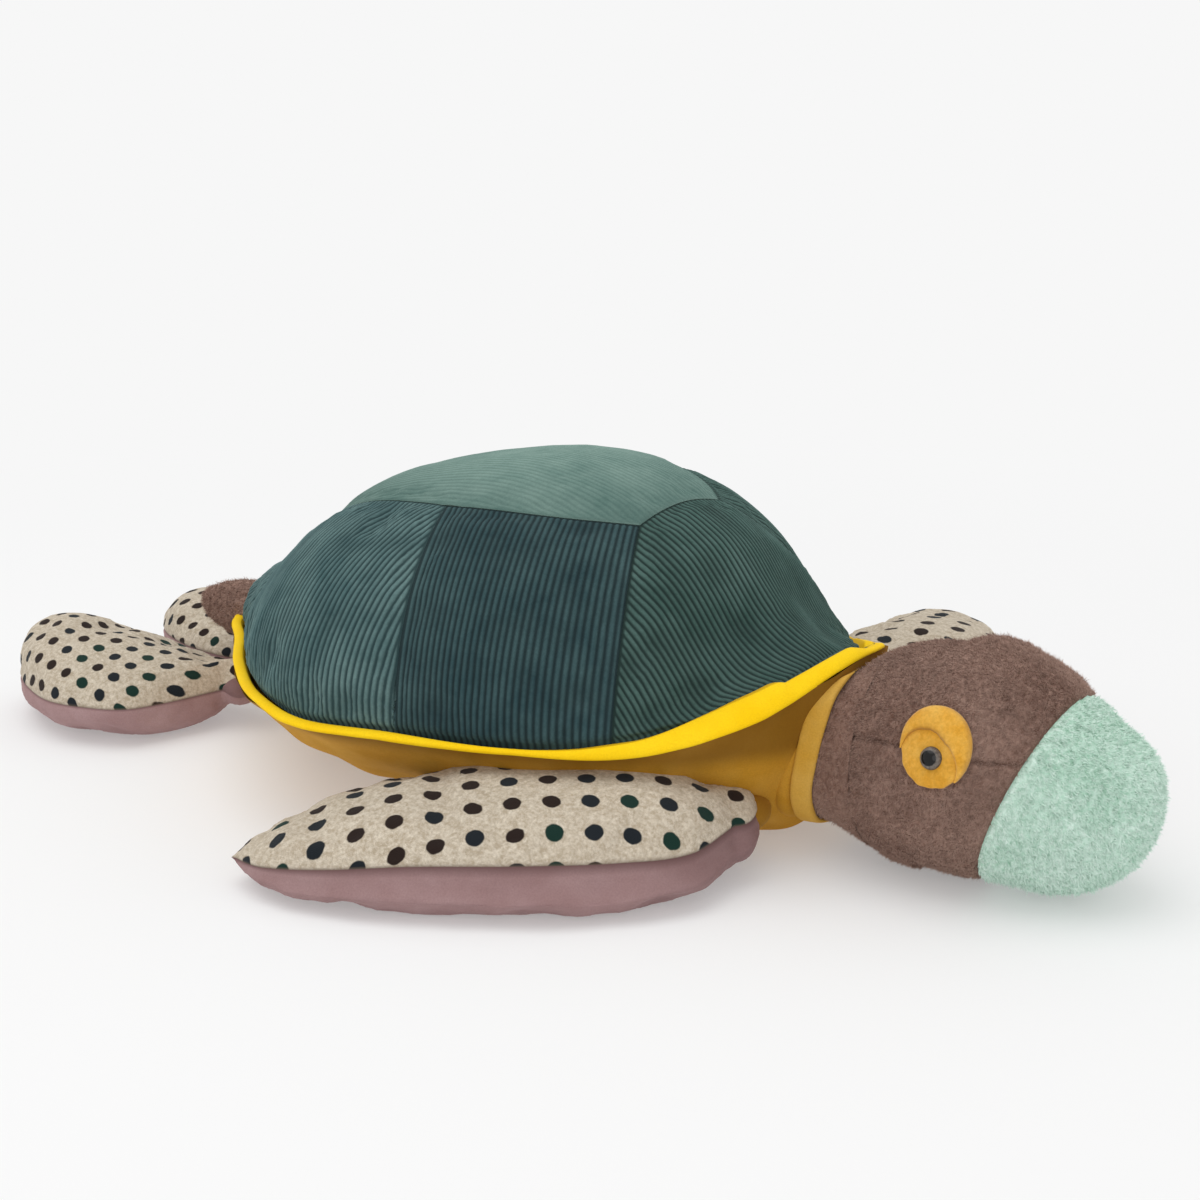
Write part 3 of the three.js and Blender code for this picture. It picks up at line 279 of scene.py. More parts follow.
class Settled:
    """How a stuffed skin puffs between its seams: a cloth simulation on a coarse copy of it."""

    def __init__(self, points, faces, seams, growth, cap):
        self.tree = None
        rough = make_object("rough_skin", points, faces)
        remesh = rough.modifiers.new("even", "REMESH")
        remesh.mode, remesh.voxel_size = "VOXEL", VOXEL * MM
        graph = bpy.context.evaluated_depsgraph_get()
        even = bpy.data.meshes.new_from_object(rough.evaluated_get(graph))
        skin = bpy.data.objects.new("settling_skin", even)
        bpy.context.scene.collection.objects.link(skin)
        start = self.places(even)
        pins = skin.vertex_groups.new(name="seam")
        pins.add(np.flatnonzero(distances(start, seams) < PIN_REACH).tolist(), 1.0, "REPLACE")
        cloth = skin.modifiers.new("cloth", "CLOTH")
        cloth.point_cache.frame_start, cloth.point_cache.frame_end = 1, SIMULATED_FRAMES
        settings = cloth.settings
        settings.quality, settings.vertex_group_mass = CLOTH_QUALITY, "seam"
        settings.tension_stiffness, settings.compression_stiffness = TENSION, COMPRESSION
        settings.bending_stiffness, settings.shrink_min = BENDING, -growth
        settings.use_pressure, settings.uniform_pressure_force = True, PRESSURE
        settings.effector_weights.gravity = 0
        for frame_number in range(1, SIMULATED_FRAMES + 1):
            bpy.context.scene.frame_set(frame_number)
        graph = bpy.context.evaluated_depsgraph_get()
        shift = self.places(skin.evaluated_get(graph).data) - start
        bpy.context.scene.frame_set(1)
        length = np.linalg.norm(shift, axis=1, keepdims=True)
        self.shift = shift * np.minimum(1, cap / np.maximum(length, 1e-6))
        self.tree = search_tree(start)
        for done in (rough, skin):
            bpy.data.objects.remove(done)

    @staticmethod
    def places(mesh):
        found = np.empty(len(mesh.vertices) * 3, np.float32)
        mesh.vertices.foreach_get("co", found)
        return found.reshape(-1, 3) / MM

    def over(self, grid, normal, gap):
        """The shift of each point of a grid, without the skin's mean swell, fading out at seams."""
        if self.tree is None:
            return np.zeros(grid.shape)
        found = []
        for point in grid.reshape(-1, 3):
            close = self.tree.find_n(point, NEAR_POINTS)
            weights = np.array([1 / (near[2] + 1.0) for near in close])
            found.append(weights @ self.shift[[near[1] for near in close]] / weights.sum())
        swell = (np.array(found).reshape(grid.shape) * normal).sum(-1)
        return normal * ((swell - swell.mean()) * ease(gap / SKIN_FADE))[..., None]


# Materials
def linear(text, *alpha):
    """A written colour such as 2f5a58, in linear light."""
    channels = [int(text[n:n + 2], 16) / 255 for n in (0, 2, 4)]
    return tuple(c / 12.92 if c <= 0.04045 else ((c + 0.055) / 1.055) ** 2.4 for c in channels) + alpha


class Tree:
    """The nodes of a material or world, written in as few words as they need."""

    def __init__(self, owner):
        owner.use_nodes = True
        self.owner, self.nodes, self.links = owner, owner.node_tree.nodes, owner.node_tree.links

    @staticmethod
    def material(name, colour):
        made = bpy.data.materials.new(name)
        made.diffuse_color = linear(colour, 1)
        return Tree(made)

    def node(self, kind, inputs=None, **settings):
        made = self.nodes.new(kind)
        for key, value in settings.items():
            setattr(made, key, value)
        for key, value in (inputs or {}).items():
            self.set(made.inputs[key], value)
        return made

    def set(self, socket, value):
        if isinstance(value, bpy.types.NodeSocket):
            self.links.new(value, socket)
        elif isinstance(value, bpy.types.Node):
            self.links.new(value.outputs[0], socket)
        else:
            socket.default_value = linear(value, 1) if isinstance(value, str) else value

    def attribute(self, name, output="Fac"):
        return self.node("ShaderNodeAttribute", attribute_name=name).outputs[output]

    def place(self):
        return self.node("ShaderNodeTexCoord").outputs["Object"]

    def noise(self, scale, detail=2.0, rough=0.5):
        inputs = {"Scale": scale, "Detail": detail, "Roughness": rough, "Vector": self.place()}
        return self.node("ShaderNodeTexNoise", inputs).outputs["Fac"]

    def math(self, operation, a, b=0.0):
        return self.node("ShaderNodeMath", {0: a, 1: b}, operation=operation).outputs[0]

    def spread(self, value, low, high, to_low=0.0, to_high=1.0, smooth=False):
        """Maps a value from one range to another and holds it inside."""
        kind = "SMOOTHSTEP" if smooth else "LINEAR"
        inputs = {"Value": value, "From Min": low, "From Max": high, "To Min": to_low, "To Max": to_high}
        return self.node("ShaderNodeMapRange", inputs, interpolation_type=kind).outputs[0]

    def patches(self, scale, detail, rough, low, high):
        return self.spread(self.noise(scale, detail, rough), low, high)

    def mix(self, share, a, b):
        made = self.node("ShaderNodeMix", data_type="RGBA")
        for n, value in ((0, share), (6, a), (7, b)):
            self.set(made.inputs[n], value)
        return made.outputs[2]

    def tint(self, colour, other, amount, most):
        """Takes a colour part of the way to another, by an amount from 0 to 1 and the most it goes."""
        return self.mix(self.math("MULTIPLY", amount, most), colour, other)

    def bump(self, height, strength, distance, normal=None):
        inputs = {"Height": height, "Strength": strength, "Distance": distance}
        if normal is not None:
            inputs["Normal"] = normal
        return self.node("ShaderNodeBump", inputs).outputs[0]

    def finish(self, **values):
        """Sets the shader's inputs, with _ for the spaces in their names."""
        for key, value in values.items():
            self.set(self.nodes["Principled BSDF"].inputs[key.replace("_", " ")], value)
        return self.owner


def corduroy(name, groove, wale, light, contrast, low_shade):
    """Corduroy: dark between the wales as painted shade in the grooves, the pile lighter on their backs and
    worn in patches, with painted shade at the seams and lower down.
    """
    t = Tree.material(name, wale)
    pile = t.noise(900, 2, 0.7)
    back = t.tint(wale, light, t.patches(24, 4, 0.65, 0.36, 0.66), 0.75)
    back = t.tint(back, light, t.patches(150, 3, 0.6, 0.3, 0.7), 0.3)
    # Painted shade in the grooves: between the wales the colour goes towards the groove colour, by the
    # contrast.
    colour = t.mix(t.spread(t.attribute("wale"), 0.25, 0.95), t.mix(contrast, back, groove), back)
    colour = t.tint(colour, groove, t.spread(pile, 0.35, 0.7), 0.2)
    # Painted shade along the seams and under the trim, by the seam value.
    colour = t.tint(colour, groove, t.attribute("seam"), 0.2)
    # Painted shade lower down the panel, as much as each look sets.
    colour = t.tint(colour, groove, t.attribute("low_shade"), low_shade)
    return t.finish(Base_Color=colour, Roughness=0.92, Sheen_Weight=0.55, Sheen_Roughness=0.35,
                    Sheen_Tint=light, Specular_IOR_Level=0.2, Normal=t.bump(pile, 0.25, 0.0004))


def velour(name, deep, plain, light, sheen=0.35):
    """Velour: a short even pile with brushed patches, darker in its folds, hollows and seams as painted
    shade.
    """
    t = Tree.material(name, plain)
    fine = t.noise(1400, 2, 0.6)
    colour = t.tint(plain, light, t.patches(35, 3, 0.6, 0.35, 0.7), 0.6)
    colour = t.tint(colour, deep, t.spread(fine, 0.3, 0.7), 0.22)
    colour = t.mix(t.attribute("shade"), colour, deep)
    return t.finish(Base_Color=colour, Roughness=0.85, Sheen_Weight=sheen, Sheen_Roughness=0.4,
                    Sheen_Tint=light, Specular_IOR_Level=0.2, Normal=t.bump(fine, 0.3, 0.0003))


def felt(name, deep, plain, light):
    """Felt: matted fibres with a little fuzz."""
    t = Tree.material(name, plain)
    fibres = t.noise(700, 4, 0.75)
    colour = t.mix(t.patches(120, 3, 0.6, 0.35, 0.7), plain, light)
    colour = t.tint(colour, deep, t.spread(fibres, 0.35, 0.7), 0.4)
    colour = t.mix(t.attribute("shade"), colour, deep)
    return t.finish(Base_Color=colour, Roughness=0.95, Sheen_Weight=0.2, Specular_IOR_Level=0.15,
                    Normal=t.bump(fibres, 0.4, 0.0004))


def pile_cloth(name, deep, plain, light, scale, contrast):
    """Fur and boucle: tufts that differ from one to the next over cloudy patches."""
    t = Tree.material(name, plain)
    tufts = t.patches(scale, 3, 0.65, 0.3, 0.7)
    colour = t.mix(contrast, plain, t.mix(tufts, deep, light))
    colour = t.tint(colour, deep, t.patches(scale / 9, 3, 0.6, 0.35, 0.65), 0.4)
    colour = t.tint(colour, light, t.patches(scale / 22, 2, 0.5, 0.42, 0.68), 0.4)
    colour = t.tint(colour, light, t.attribute("tip"), 0.35)
    colour = t.mix(t.attribute("shade"), colour, deep)
    return t.finish(Base_Color=colour, Roughness=0.95, Sheen_Weight=0.3, Sheen_Roughness=0.5,
                    Sheen_Tint=light, Specular_IOR_Level=0.15, Normal=t.bump(tufts, 0.5, 0.0006))


def dotted_cloth(name, pitch, radius):
    """Beige plain weave with round dots on a square grid, each dot in one of three dark shades."""
    t = Tree.material(name, "cbbfa9")
    split = t.node("ShaderNodeSeparateXYZ", {0: t.attribute("cloth", "Vector")})
    cells = [t.math("DIVIDE", split.outputs[n], pitch) for n in (0, 1)]
    offsets = [t.math("SUBTRACT", t.math("FRACT", cell), 0.5) for cell in cells]
    squares = [t.math("POWER", t.math("MULTIPLY", offset, pitch), 2.0) for offset in offsets]
    wobble = t.math("MULTIPLY", t.math("SUBTRACT", t.noise(330, 2, 0.5), 0.5), 0.9)
    reach = t.math("ADD", t.math("SQRT", t.math("ADD", *squares)), wobble)
    dot = t.spread(reach, radius - 0.35, radius + 0.35, 1.0, 0.0, True)
    whole = [t.math("FLOOR", cell) for cell in cells]
    cell = t.node("ShaderNodeCombineXYZ", {0: whole[0], 1: whole[1], 2: 0.5})
    pick = t.node("ShaderNodeTexWhiteNoise", {"Vector": cell}).outputs["Value"]
    shade = t.mix(t.math("GREATER_THAN", pick, 0.45), "261b17", "1c2126")
    shade = t.mix(t.math("GREATER_THAN", pick, 0.84), shade, "163029")
    turns = [t.math("MULTIPLY", split.outputs[n], 2 * math.pi / 0.9) for n in (0, 1)]
    weave = t.spread(t.math("MULTIPLY", *(t.math("SINE", turn) for turn in turns)), -1.0, 1.0)
    slub = t.noise(420, 4, 0.8)
    ground = t.mix(t.spread(slub, 0.38, 0.62), "b3a48e", "ddd2c0")
    ground = t.tint(ground, "bdaf9c", t.patches(26, 2, 0.5, 0.35, 0.7), 0.2)
    ground = t.tint(ground, "8d8271", t.patches(900, 2, 0.8, 0.4, 0.65), 0.25)
    ground = t.tint(ground, "8d8271", weave, 0.16)
    colour = t.mix(t.attribute("shade"), t.mix(dot, ground, shade), "6a5c50")
    return t.finish(Base_Color=colour, Roughness=0.93, Sheen_Weight=0.05, Specular_IOR_Level=0.15,
                    Normal=t.bump(weave, 0.35, 0.0003, t.bump(slub, 0.3, 0.0006)))


def plastic(name, colour, roughness):
    t = Tree.material(name, colour)
    cloud = t.noise(300, 2, 0.5)
    t.finish(Base_Color=t.mix(t.spread(cloud, 0.3, 0.7, 0.0, 0.15), colour, "565656"), Roughness=roughness)
    return t.finish(Coat_Weight=0.6, Coat_Roughness=0.08, Normal=t.bump(cloud, 0.05, 0.0002))


def eye_plastic(name):
    """The eye's glossy dome: a black pupil in a grey-brown iris with a thin dark edge."""
    t = Tree.material(name, "2b2624")
    ring = t.attribute("ring")
    iris = t.mix(t.patches(900, 2, 0.6, 0.3, 0.7), "4a433e", "7b736b")
    colour = t.mix(t.spread(ring, 0.62, 0.7), "050505", iris)
    colour = t.mix(t.spread(ring, 0.93, 0.98), colour, "4a4038")
    return t.finish(Base_Color=colour, Roughness=0.12, Specular_IOR_Level=0.15, Coat_Weight=0.35,
                    Coat_Roughness=0.03)


# Each look's slot in the record, and its material
LOOKS = {
    # The four corduroy looks are one cloth in lighter and darker copies panel by panel, as painted light and
    # painted pile sheen: the top lightest, the right side darkest. Each look also sets how much painted shade
    # falls lower down.
    "top": ("corduroy", corduroy("corduroy_top", "2f4a46", "5f7e76", "90aaa0", 0.25, 0.75)),
    "front": ("corduroy", corduroy("corduroy_front", "12211f", "3d5a53", "5f7b75", 0.85, 0.35)),
    "side": ("corduroy", corduroy("corduroy_side", "0d191c", "2a4449", "4b6566", 0.75, 0.1)),
    "rear": ("corduroy", corduroy("corduroy_rear", "14292c", "405c5e", "6c8785", 0.8, 0.0)),
    "trim": ("trim", velour("trim_cloth", "c99a00", "fccc00", "ffdc20", sheen=0.05)),
    "belly": ("velour", velour("belly_velour", "6b4506", "bf8a24", "d9a84c")),
    # The cuff's velour is the belly's cloth painted lighter: painted light on the turned-back cuff.
    "cuff": ("velour", velour("cuff_velour", "8a5f12", "cf9d38", "e0ba68")),
    "mauve": ("mauve_velour", velour("mauve_velour", "684d4c", "9c7c7b", "b99c9c")),
    "fur": ("fur", pile_cloth("head_fur", "5a4037", "8e6a5b", "b89c8e", 420, 0.65)),
    "boucle": ("boucle", pile_cloth("muzzle_boucle", "a3cdb6", "cdeadb", "ecf9f2", 520, 0.85)),
    "patch": ("felt", felt("patch_felt", "9a6a14", "dda033", "ecb957")),
    "dotted_front": ("dotted_cloth", dotted_cloth("dotted_front_cloth", *FRONT["dots"])),
    "dotted_rear": ("dotted_cloth", dotted_cloth("dotted_rear_cloth", *REAR["dots"])),
    "eye": ("eye_plastic", eye_plastic("eye_dome")),
}


# Body surface
def share_at(x):
    """A place along the shell as a share of its length from the rear."""
    return (x + SHELL_REAR) / SHELL_LENGTH


def body_sizes(share):
    rim = table_value(BODY, 2, share) * RIM_HEIGHT
    return dict(
        x=np.asarray(share) * SHELL_LENGTH - SHELL_REAR,
        half=round_value(BODY, 1, share) * SHELL_WIDTH / 2,
        rim=rim,
        ridge=rim + round_value(BODY, 3, share) * (SHELL_TOP - rim),
        flat=table_value(BODY, 4, share) * SHELL_WIDTH / 2,
        bottom=np.maximum(table_value(BODY, 5, share) * RIM_HEIGHT, 0),
        full=table_value(BODY, 6, share),
    )


def drawn_in(share):
    """How much smaller than the rim's plan the shell's is at a place."""
    return 1 - EDGE_INSET / (SHELL_WIDTH / 2) * (1 - ease((np.asarray(share) - INSET_FROM) / INSET_FADE))


def dome_point(share, angle, side):
    """A point of the dome, from the rim (angle 0) to the ridge. Side is -1 for the right."""
    s = body_sizes(share)
    across, upright = (wave(angle) ** (2 / s["full"]) for wave in (np.cos, np.sin))
    shrink = drawn_in(share)
    x = s["x"] * np.where(s["x"] < 0, shrink, 1)
    return stacked(x, side * across * s["half"] * shrink, s["rim"] + upright * (s["ridge"] - s["rim"]))


SHARES = crowded(501)


def measure_dome(count=241):
    """Arc lengths from the ridge down each section, and the angle at even shares of the arc."""
    angles = np.linspace(0, math.pi / 2, count)[::-1]
    points = dome_point(SHARES[:, None], angles[None], -1)
    steps = np.linalg.norm(np.diff(points, axis=1), axis=2)
    arcs = np.concatenate([np.zeros((len(SHARES), 1)), np.cumsum(steps, 1)], 1)
    total = np.maximum(arcs[:, -1], 1e-6)
    even = np.linspace(0, 1, count)
    return total, np.stack([np.interp(even, row / whole, angles) for row, whole in zip(arcs, total)])


DOME_ARC, DOME_ANGLE = measure_dome()


def arc_at(x):
    """Length of the half section at a place, from the ridge to the rim."""
    return np.interp(share_at(x), SHARES, DOME_ARC)


def on_dome(x, arc):
    """The dome's point at a place along the shell and a signed arc from the ridge (+ is right)."""
    share = np.clip(share_at(x), 0, 1)
    column = np.clip(np.abs(arc) / np.maximum(arc_at(x), 1e-6), 0, 1) * (DOME_ANGLE.shape[1] - 1)
    row = np.interp(share, SHARES, np.arange(len(SHARES)))
    r = np.minimum(np.floor(row).astype(int), len(SHARES) - 2)
    c = np.minimum(np.floor(column).astype(int), DOME_ANGLE.shape[1] - 2)
    down, over = row - r, column - c
    low = DOME_ANGLE[r, c] * (1 - over) + DOME_ANGLE[r, c + 1] * over
    high = DOME_ANGLE[r + 1, c] * (1 - over) + DOME_ANGLE[r + 1, c + 1] * over
    return dome_point(share, low * (1 - down) + high * down, np.where(arc >= 0, -1, 1))


def dome_above(flat):
    """The dome's points above places in plan."""
    shrink = drawn_in(np.clip(share_at(flat[:, 0]), 0, 1))
    share = np.clip(share_at(flat[:, 0] / np.where(flat[:, 0] < 0, shrink, 1)), 0, 1)
    sizes = body_sizes(share)
    out = np.abs(flat[:, 1]) / np.maximum(sizes["half"] * drawn_in(share), 1e-6)
    angle = np.arccos(np.clip(out, 0, 1) ** (sizes["full"] / 2))
    return dome_point(share, angle, np.where(flat[:, 1] < 0, -1, 1))


def lip_at(points):
    """How far the shell's edge stands up near places on it, less on the left."""
    lip = table_value(LIP, 1, share_at(points[..., 0]))
    return lip * (LEFT_LIP + (1 - LEFT_LIP) * ease((LEFT_FROM - points[..., 1]) / LEFT_FADE))


def pulled(points):
    """Points of the shell or belly, with the left front corner drawn in."""
    shares = [ease((points[..., n] - PULL_FROM[n]) / PULL_FADE[n]) for n in range(3)]
    return points + np.prod(shares, axis=0)[..., None] * CORNER_PULL


def rim_path():
    """Points round the rim from the rear over the right side, with shares and outward directions."""
    share = crowded(260)
    s = body_sizes(share)
    right = np.stack([s["x"], -s["half"], s["rim"]], -1)
    points = np.concatenate([right, right[-2:0:-1] * [1, -1, 1]])
    shares = np.concatenate([share, share[-2:0:-1]])
    tangent = np.roll(points, -1, 0) - np.roll(points, 1, 0)
    for _ in range(3):
        tangent = unit(np.roll(tangent, 1, 0) + tangent + np.roll(tangent, -1, 0))
    return points, shares, unit(np.stack([tangent[:, 1], -tangent[:, 0], 0 * shares], -1))


# Shell panels
WALE, SIDE_WALE, LINES_PER_WALE = 3.3, 2.8, 6
WALE_HEIGHT, SIDE_WALE_HEIGHT, WALE_ROUNDNESS = {"top": 0.25, "front": 0.6}, 0.65, 1.2
WALE_MIDDLE, WALE_RIPPLE, WALE_START = 0.9, 0.15, 1.6
REAR_WALE, REAR_WALE_CURVE, REAR_WALE_LEAN = 190, 0.0042, 0.12
TRIAL_POINTS, WALE_POINTS, END_CROWDING = 700, 46, 0.28
LUMP, LUMP_FADE, RIPPLE, RIPPLE_FADE = 0.4, 20, 0.2, 8
SEAM_DEPTH, SEAM_REACH, SEAM_SHADOW = 0.45, 2.4, 1.2
PUFF, PUFF_REACH = 1.0, 16.0
SKIRT, TUCK, TUCK_REACH = 2.0, np.array([2.6, 2.6, 2.6]), 4.5
# How far down from the shell's top the painted shade lower on a panel grows to full: the top panel, then the
# rest.
LOW_SHADE_DEPTH, FULL_LOW_SHADE_DEPTH = {"top": 32.0}, 100.0
# Each panel's look
PANELS = {
    "top": "top", "front": "front", "rear": "rear",
    "right": "side", "left": "front", "right_rear": "rear", "left_rear": "rear",
}
# Where the lines of the panels with straight wales begin and end
PANEL_REACH = {
    "top": (-110, 110), "front": (-190, 190), "rear": (-150, 150), "right_rear": (-260, 40),
    "left_rear": (-260, 40),
}


def plan(corner, side):
    return np.array([corner[0] * SHELL_LENGTH - SHELL_REAR, side * corner[1] * SHELL_WIDTH / 2])


def panel_lines(side):
    """The seams of one side in plan: (start, direction), by name. Left of a line is +."""
    corners, ends = ([plan(c, side) for c in table] for table in (TOP_CORNERS, SEAM_ENDS))
    lines = {f"seam{n}": (corners[n], unit(ends[n] - corners[n])) for n in range(3)}
    for n, bulge in ((0, EDGE_BULGE), (1, EDGE_BULGE / 2)):
        across = corners[n + 1] - corners[n]
        lines[f"edge{n}"] = (corners[n], unit(across), float(np.linalg.norm(across)), -side * bulge)
    return lines


LINES = {side: panel_lines(side) for side in (-1, 1)}
ENDS = {name: (plan(TOP_CORNERS[n], -1), np.array([0.0, 1.0])) for name, n in (("fore", 0), ("aft", 2))}


def beside(line, x, y):
    """Signed distance in plan from a line, + to its left."""
    start, direction = line[:2]
    away = direction[0] * (y - start[1]) - direction[1] * (x - start[0])
    if len(line) == 2:
        return away
    length, bulge = line[2:]
    along = (direction[0] * (x - start[0]) + direction[1] * (y - start[1])) / length
    return away - bulge * np.maximum(1 - (2 * along - 1) ** 2, 0)


def side_of(panel):
    return SIDES.get(panel.split("_")[0], 0)


def inside(panel, x, y):
    """How far a place in plan is inside a panel, below 0 where it is outside."""
    side = side_of(panel)
    if panel == "top":
        tests = [(1, ENDS["fore"]), (-1, ENDS["aft"])]
        tests += [(s, LINES[s][edge]) for s in (-1, 1) for edge in ("edge0", "edge1")]
    elif panel == "front":
        tests = [(-1, ENDS["fore"]), (1, LINES[-1]["seam0"]), (-1, LINES[1]["seam0"])]
    elif panel == "rear":
        tests = [(1, ENDS["aft"]), (-1, LINES[-1]["seam2"]), (1, LINES[1]["seam2"])]
    else:
        n = 1 if panel.endswith("rear") else 0
        own = LINES[side]
        tests = [(-side, own[f"edge{n}"]), (side, own[f"seam{n}"]), (-side, own[f"seam{n + 1}"])]
    return np.min([sign * beside(line, x, y) for sign, line in tests], axis=0)


SEAM_PARTS = np.linspace(0.02, 1, 90)


def seam_places(side, seam):
    """Where a side panel's seam crosses even shares of the half sections."""
    x = np.linspace(-60, SHELL_FRONT, 900)
    found = []
    for part in SEAM_PARTS:
        p = on_dome(x, -side * part * arc_at(x))
        away = beside(LINES[side][seam], p[:, 0], p[:, 1])
        found.append(crossing(x, away, np.flatnonzero(away[:-1] * away[1:] <= 0)[0]))
    return np.array(found)


SEAM_PLACES = {side: [seam_places(side, seam) for seam in ("seam0", "seam1")] for side in (-1, 1)}


def wale_place(panel, line, share):
    """Place and arc on the dome of a point on a wale line, at a share of the line."""
    side = side_of(panel)
    if not side:
        return share * SHELL_LENGTH - SHELL_REAR + 0 * line, line + 0 * share
    if panel.endswith("rear"):
        height = share * REAR_WALE
        lean = REAR_WALE_CURVE * height ** 2 / (1 + height / REAR_WALE) - REAR_WALE_LEAN * height
        x = np.clip(line + lean, -SHELL_REAR, SHELL_LENGTH)
        return x, -side * (arc_at(x) - height)
    fore, aft = SEAM_PLACES[side]
    across = (line - aft[-1]) / (fore[-1] - aft[-1])
    x = np.interp(share, SEAM_PARTS, fore) * across + np.interp(share, SEAM_PARTS, aft) * (1 - across)
    return x, -side * share * arc_at(x)


def shell_edge():
    """Points all round the dome's own lower edge."""
    return np.concatenate([dome_point(crowded(900), 0.0, side) for side in (-1, 1)])


def seam_points(panel):
    """Points all along a panel's outline on the dome, without the rim."""
    found = []
    for line in [*LINES[-1].values(), *LINES[1].values(), *ENDS.values()]:
        start, direction = line[:2]
        along = np.linspace(-60, 230, 900)[:, None]
        points = start + direction * along
        if len(line) > 2:
            away = line[3] * np.maximum(1 - (2 * along / line[2] - 1) ** 2, 0)
            points = points + np.array([-direction[1], direction[0]]) * away
        found.append(points[np.abs(inside(panel, points[:, 0], points[:, 1])) < 0.05])
    flat = np.concatenate(found)
    share = np.clip(share_at(flat[:, 0]), 0, 1)
    return dome_above(flat[np.abs(flat[:, 1]) < body_sizes(share)["half"] * drawn_in(share)])


def panel_grid(panel, lines):
    """Grid of points from one end of each wale line to the other, and the lines it keeps."""
    share = np.linspace(0, 1, TRIAL_POINTS)
    side = side_of(panel)
    found = []
    for line in lines:
        x, arc = wale_place(panel, line, share)
        p = on_dome(x, arc)
        if panel in SIDES:
            room = -side * beside(LINES[side]["edge0"], p[:, 0], p[:, 1])
        else:
            room = inside(panel, p[:, 0], p[:, 1])
        room = np.minimum(room, arc_at(x) - np.abs(arc))
        if side:
            room = np.minimum(room, -side * arc)
        hits = np.flatnonzero(room > 0)
        if len(hits) > 1:
            a, b = hits[0], hits[-1]
            start = share[a] if a == 0 else crossing(share, room, a - 1)
            end = share[b] if b == len(share) - 1 else crossing(share, room, b)
            found.append((start, end, line))
    first, last, kept = np.array(found).T[..., None]
    along = np.linspace(0, 1, WALE_POINTS)
    along = along + END_CROWDING * (crowded(WALE_POINTS) - along)
    x, arc = wale_place(panel, kept, first + (last - first) * along)
    return on_dome(x, arc), kept


lumps, ripples = Noise(70), Noise(24)


def settled_shell():
    """The dome's closed skin as its stuffing and seams settle it."""
    share = crowded(70, 0.02, math.pi - 0.02)[:, None]
    angle = np.linspace(0, math.pi / 2, 26)[None]
    ring = np.concatenate([dome_point(share, angle, -1), dome_point(share, angle[:, ::-1], 1)[:, 1:]], 1)
    floor = ring[:, ::-1][:, 1:-1] * [1, 1, 0] + [0, 0, RIM_HEIGHT - SKIN_DEPTH]
    ring = np.concatenate([ring, floor], 1)
    rows, columns = ring.shape[:2]
    caps = [np.arange(columns)[::-1].tolist(), ((rows - 1) * columns + np.arange(columns)).tolist()]
    seams = [seam_points(panel) for panel in PANELS] + [shell_edge()]
    faces = grid_faces(ring, wrap=True).tolist() + caps
    return Settled(ring, faces, np.concatenate(seams), *SHELL_GROWTH)


SHELL_SKIN = settled_shell()


def skirted(points, faces, under, values):
    """A grid's points, faces and values with a narrow skirt that hides the cloth's cut edge."""
    rows, columns = points.shape[:2]
    loop = np.concatenate([
        np.arange(columns), np.arange(1, rows) * columns + columns - 1,
        (rows - 1) * columns + np.arange(columns - 2, -1, -1), np.arange(rows - 2, 0, -1) * columns])
    flat = points.reshape(-1, 3)
    below = len(flat) + np.arange(len(loop))
    band = np.stack([np.roll(loop, -1), loop, below, np.roll(below, -1)], -1)
    values = {key: np.append(value, value.ravel()[loop] if end is None else np.full(len(loop), end))
              for key, (value, end) in values.items()}
    flat = np.concatenate([flat, flat[loop] + under.reshape(-1, 3)[loop] * SKIRT])
    return flat, np.concatenate([faces, band]), values


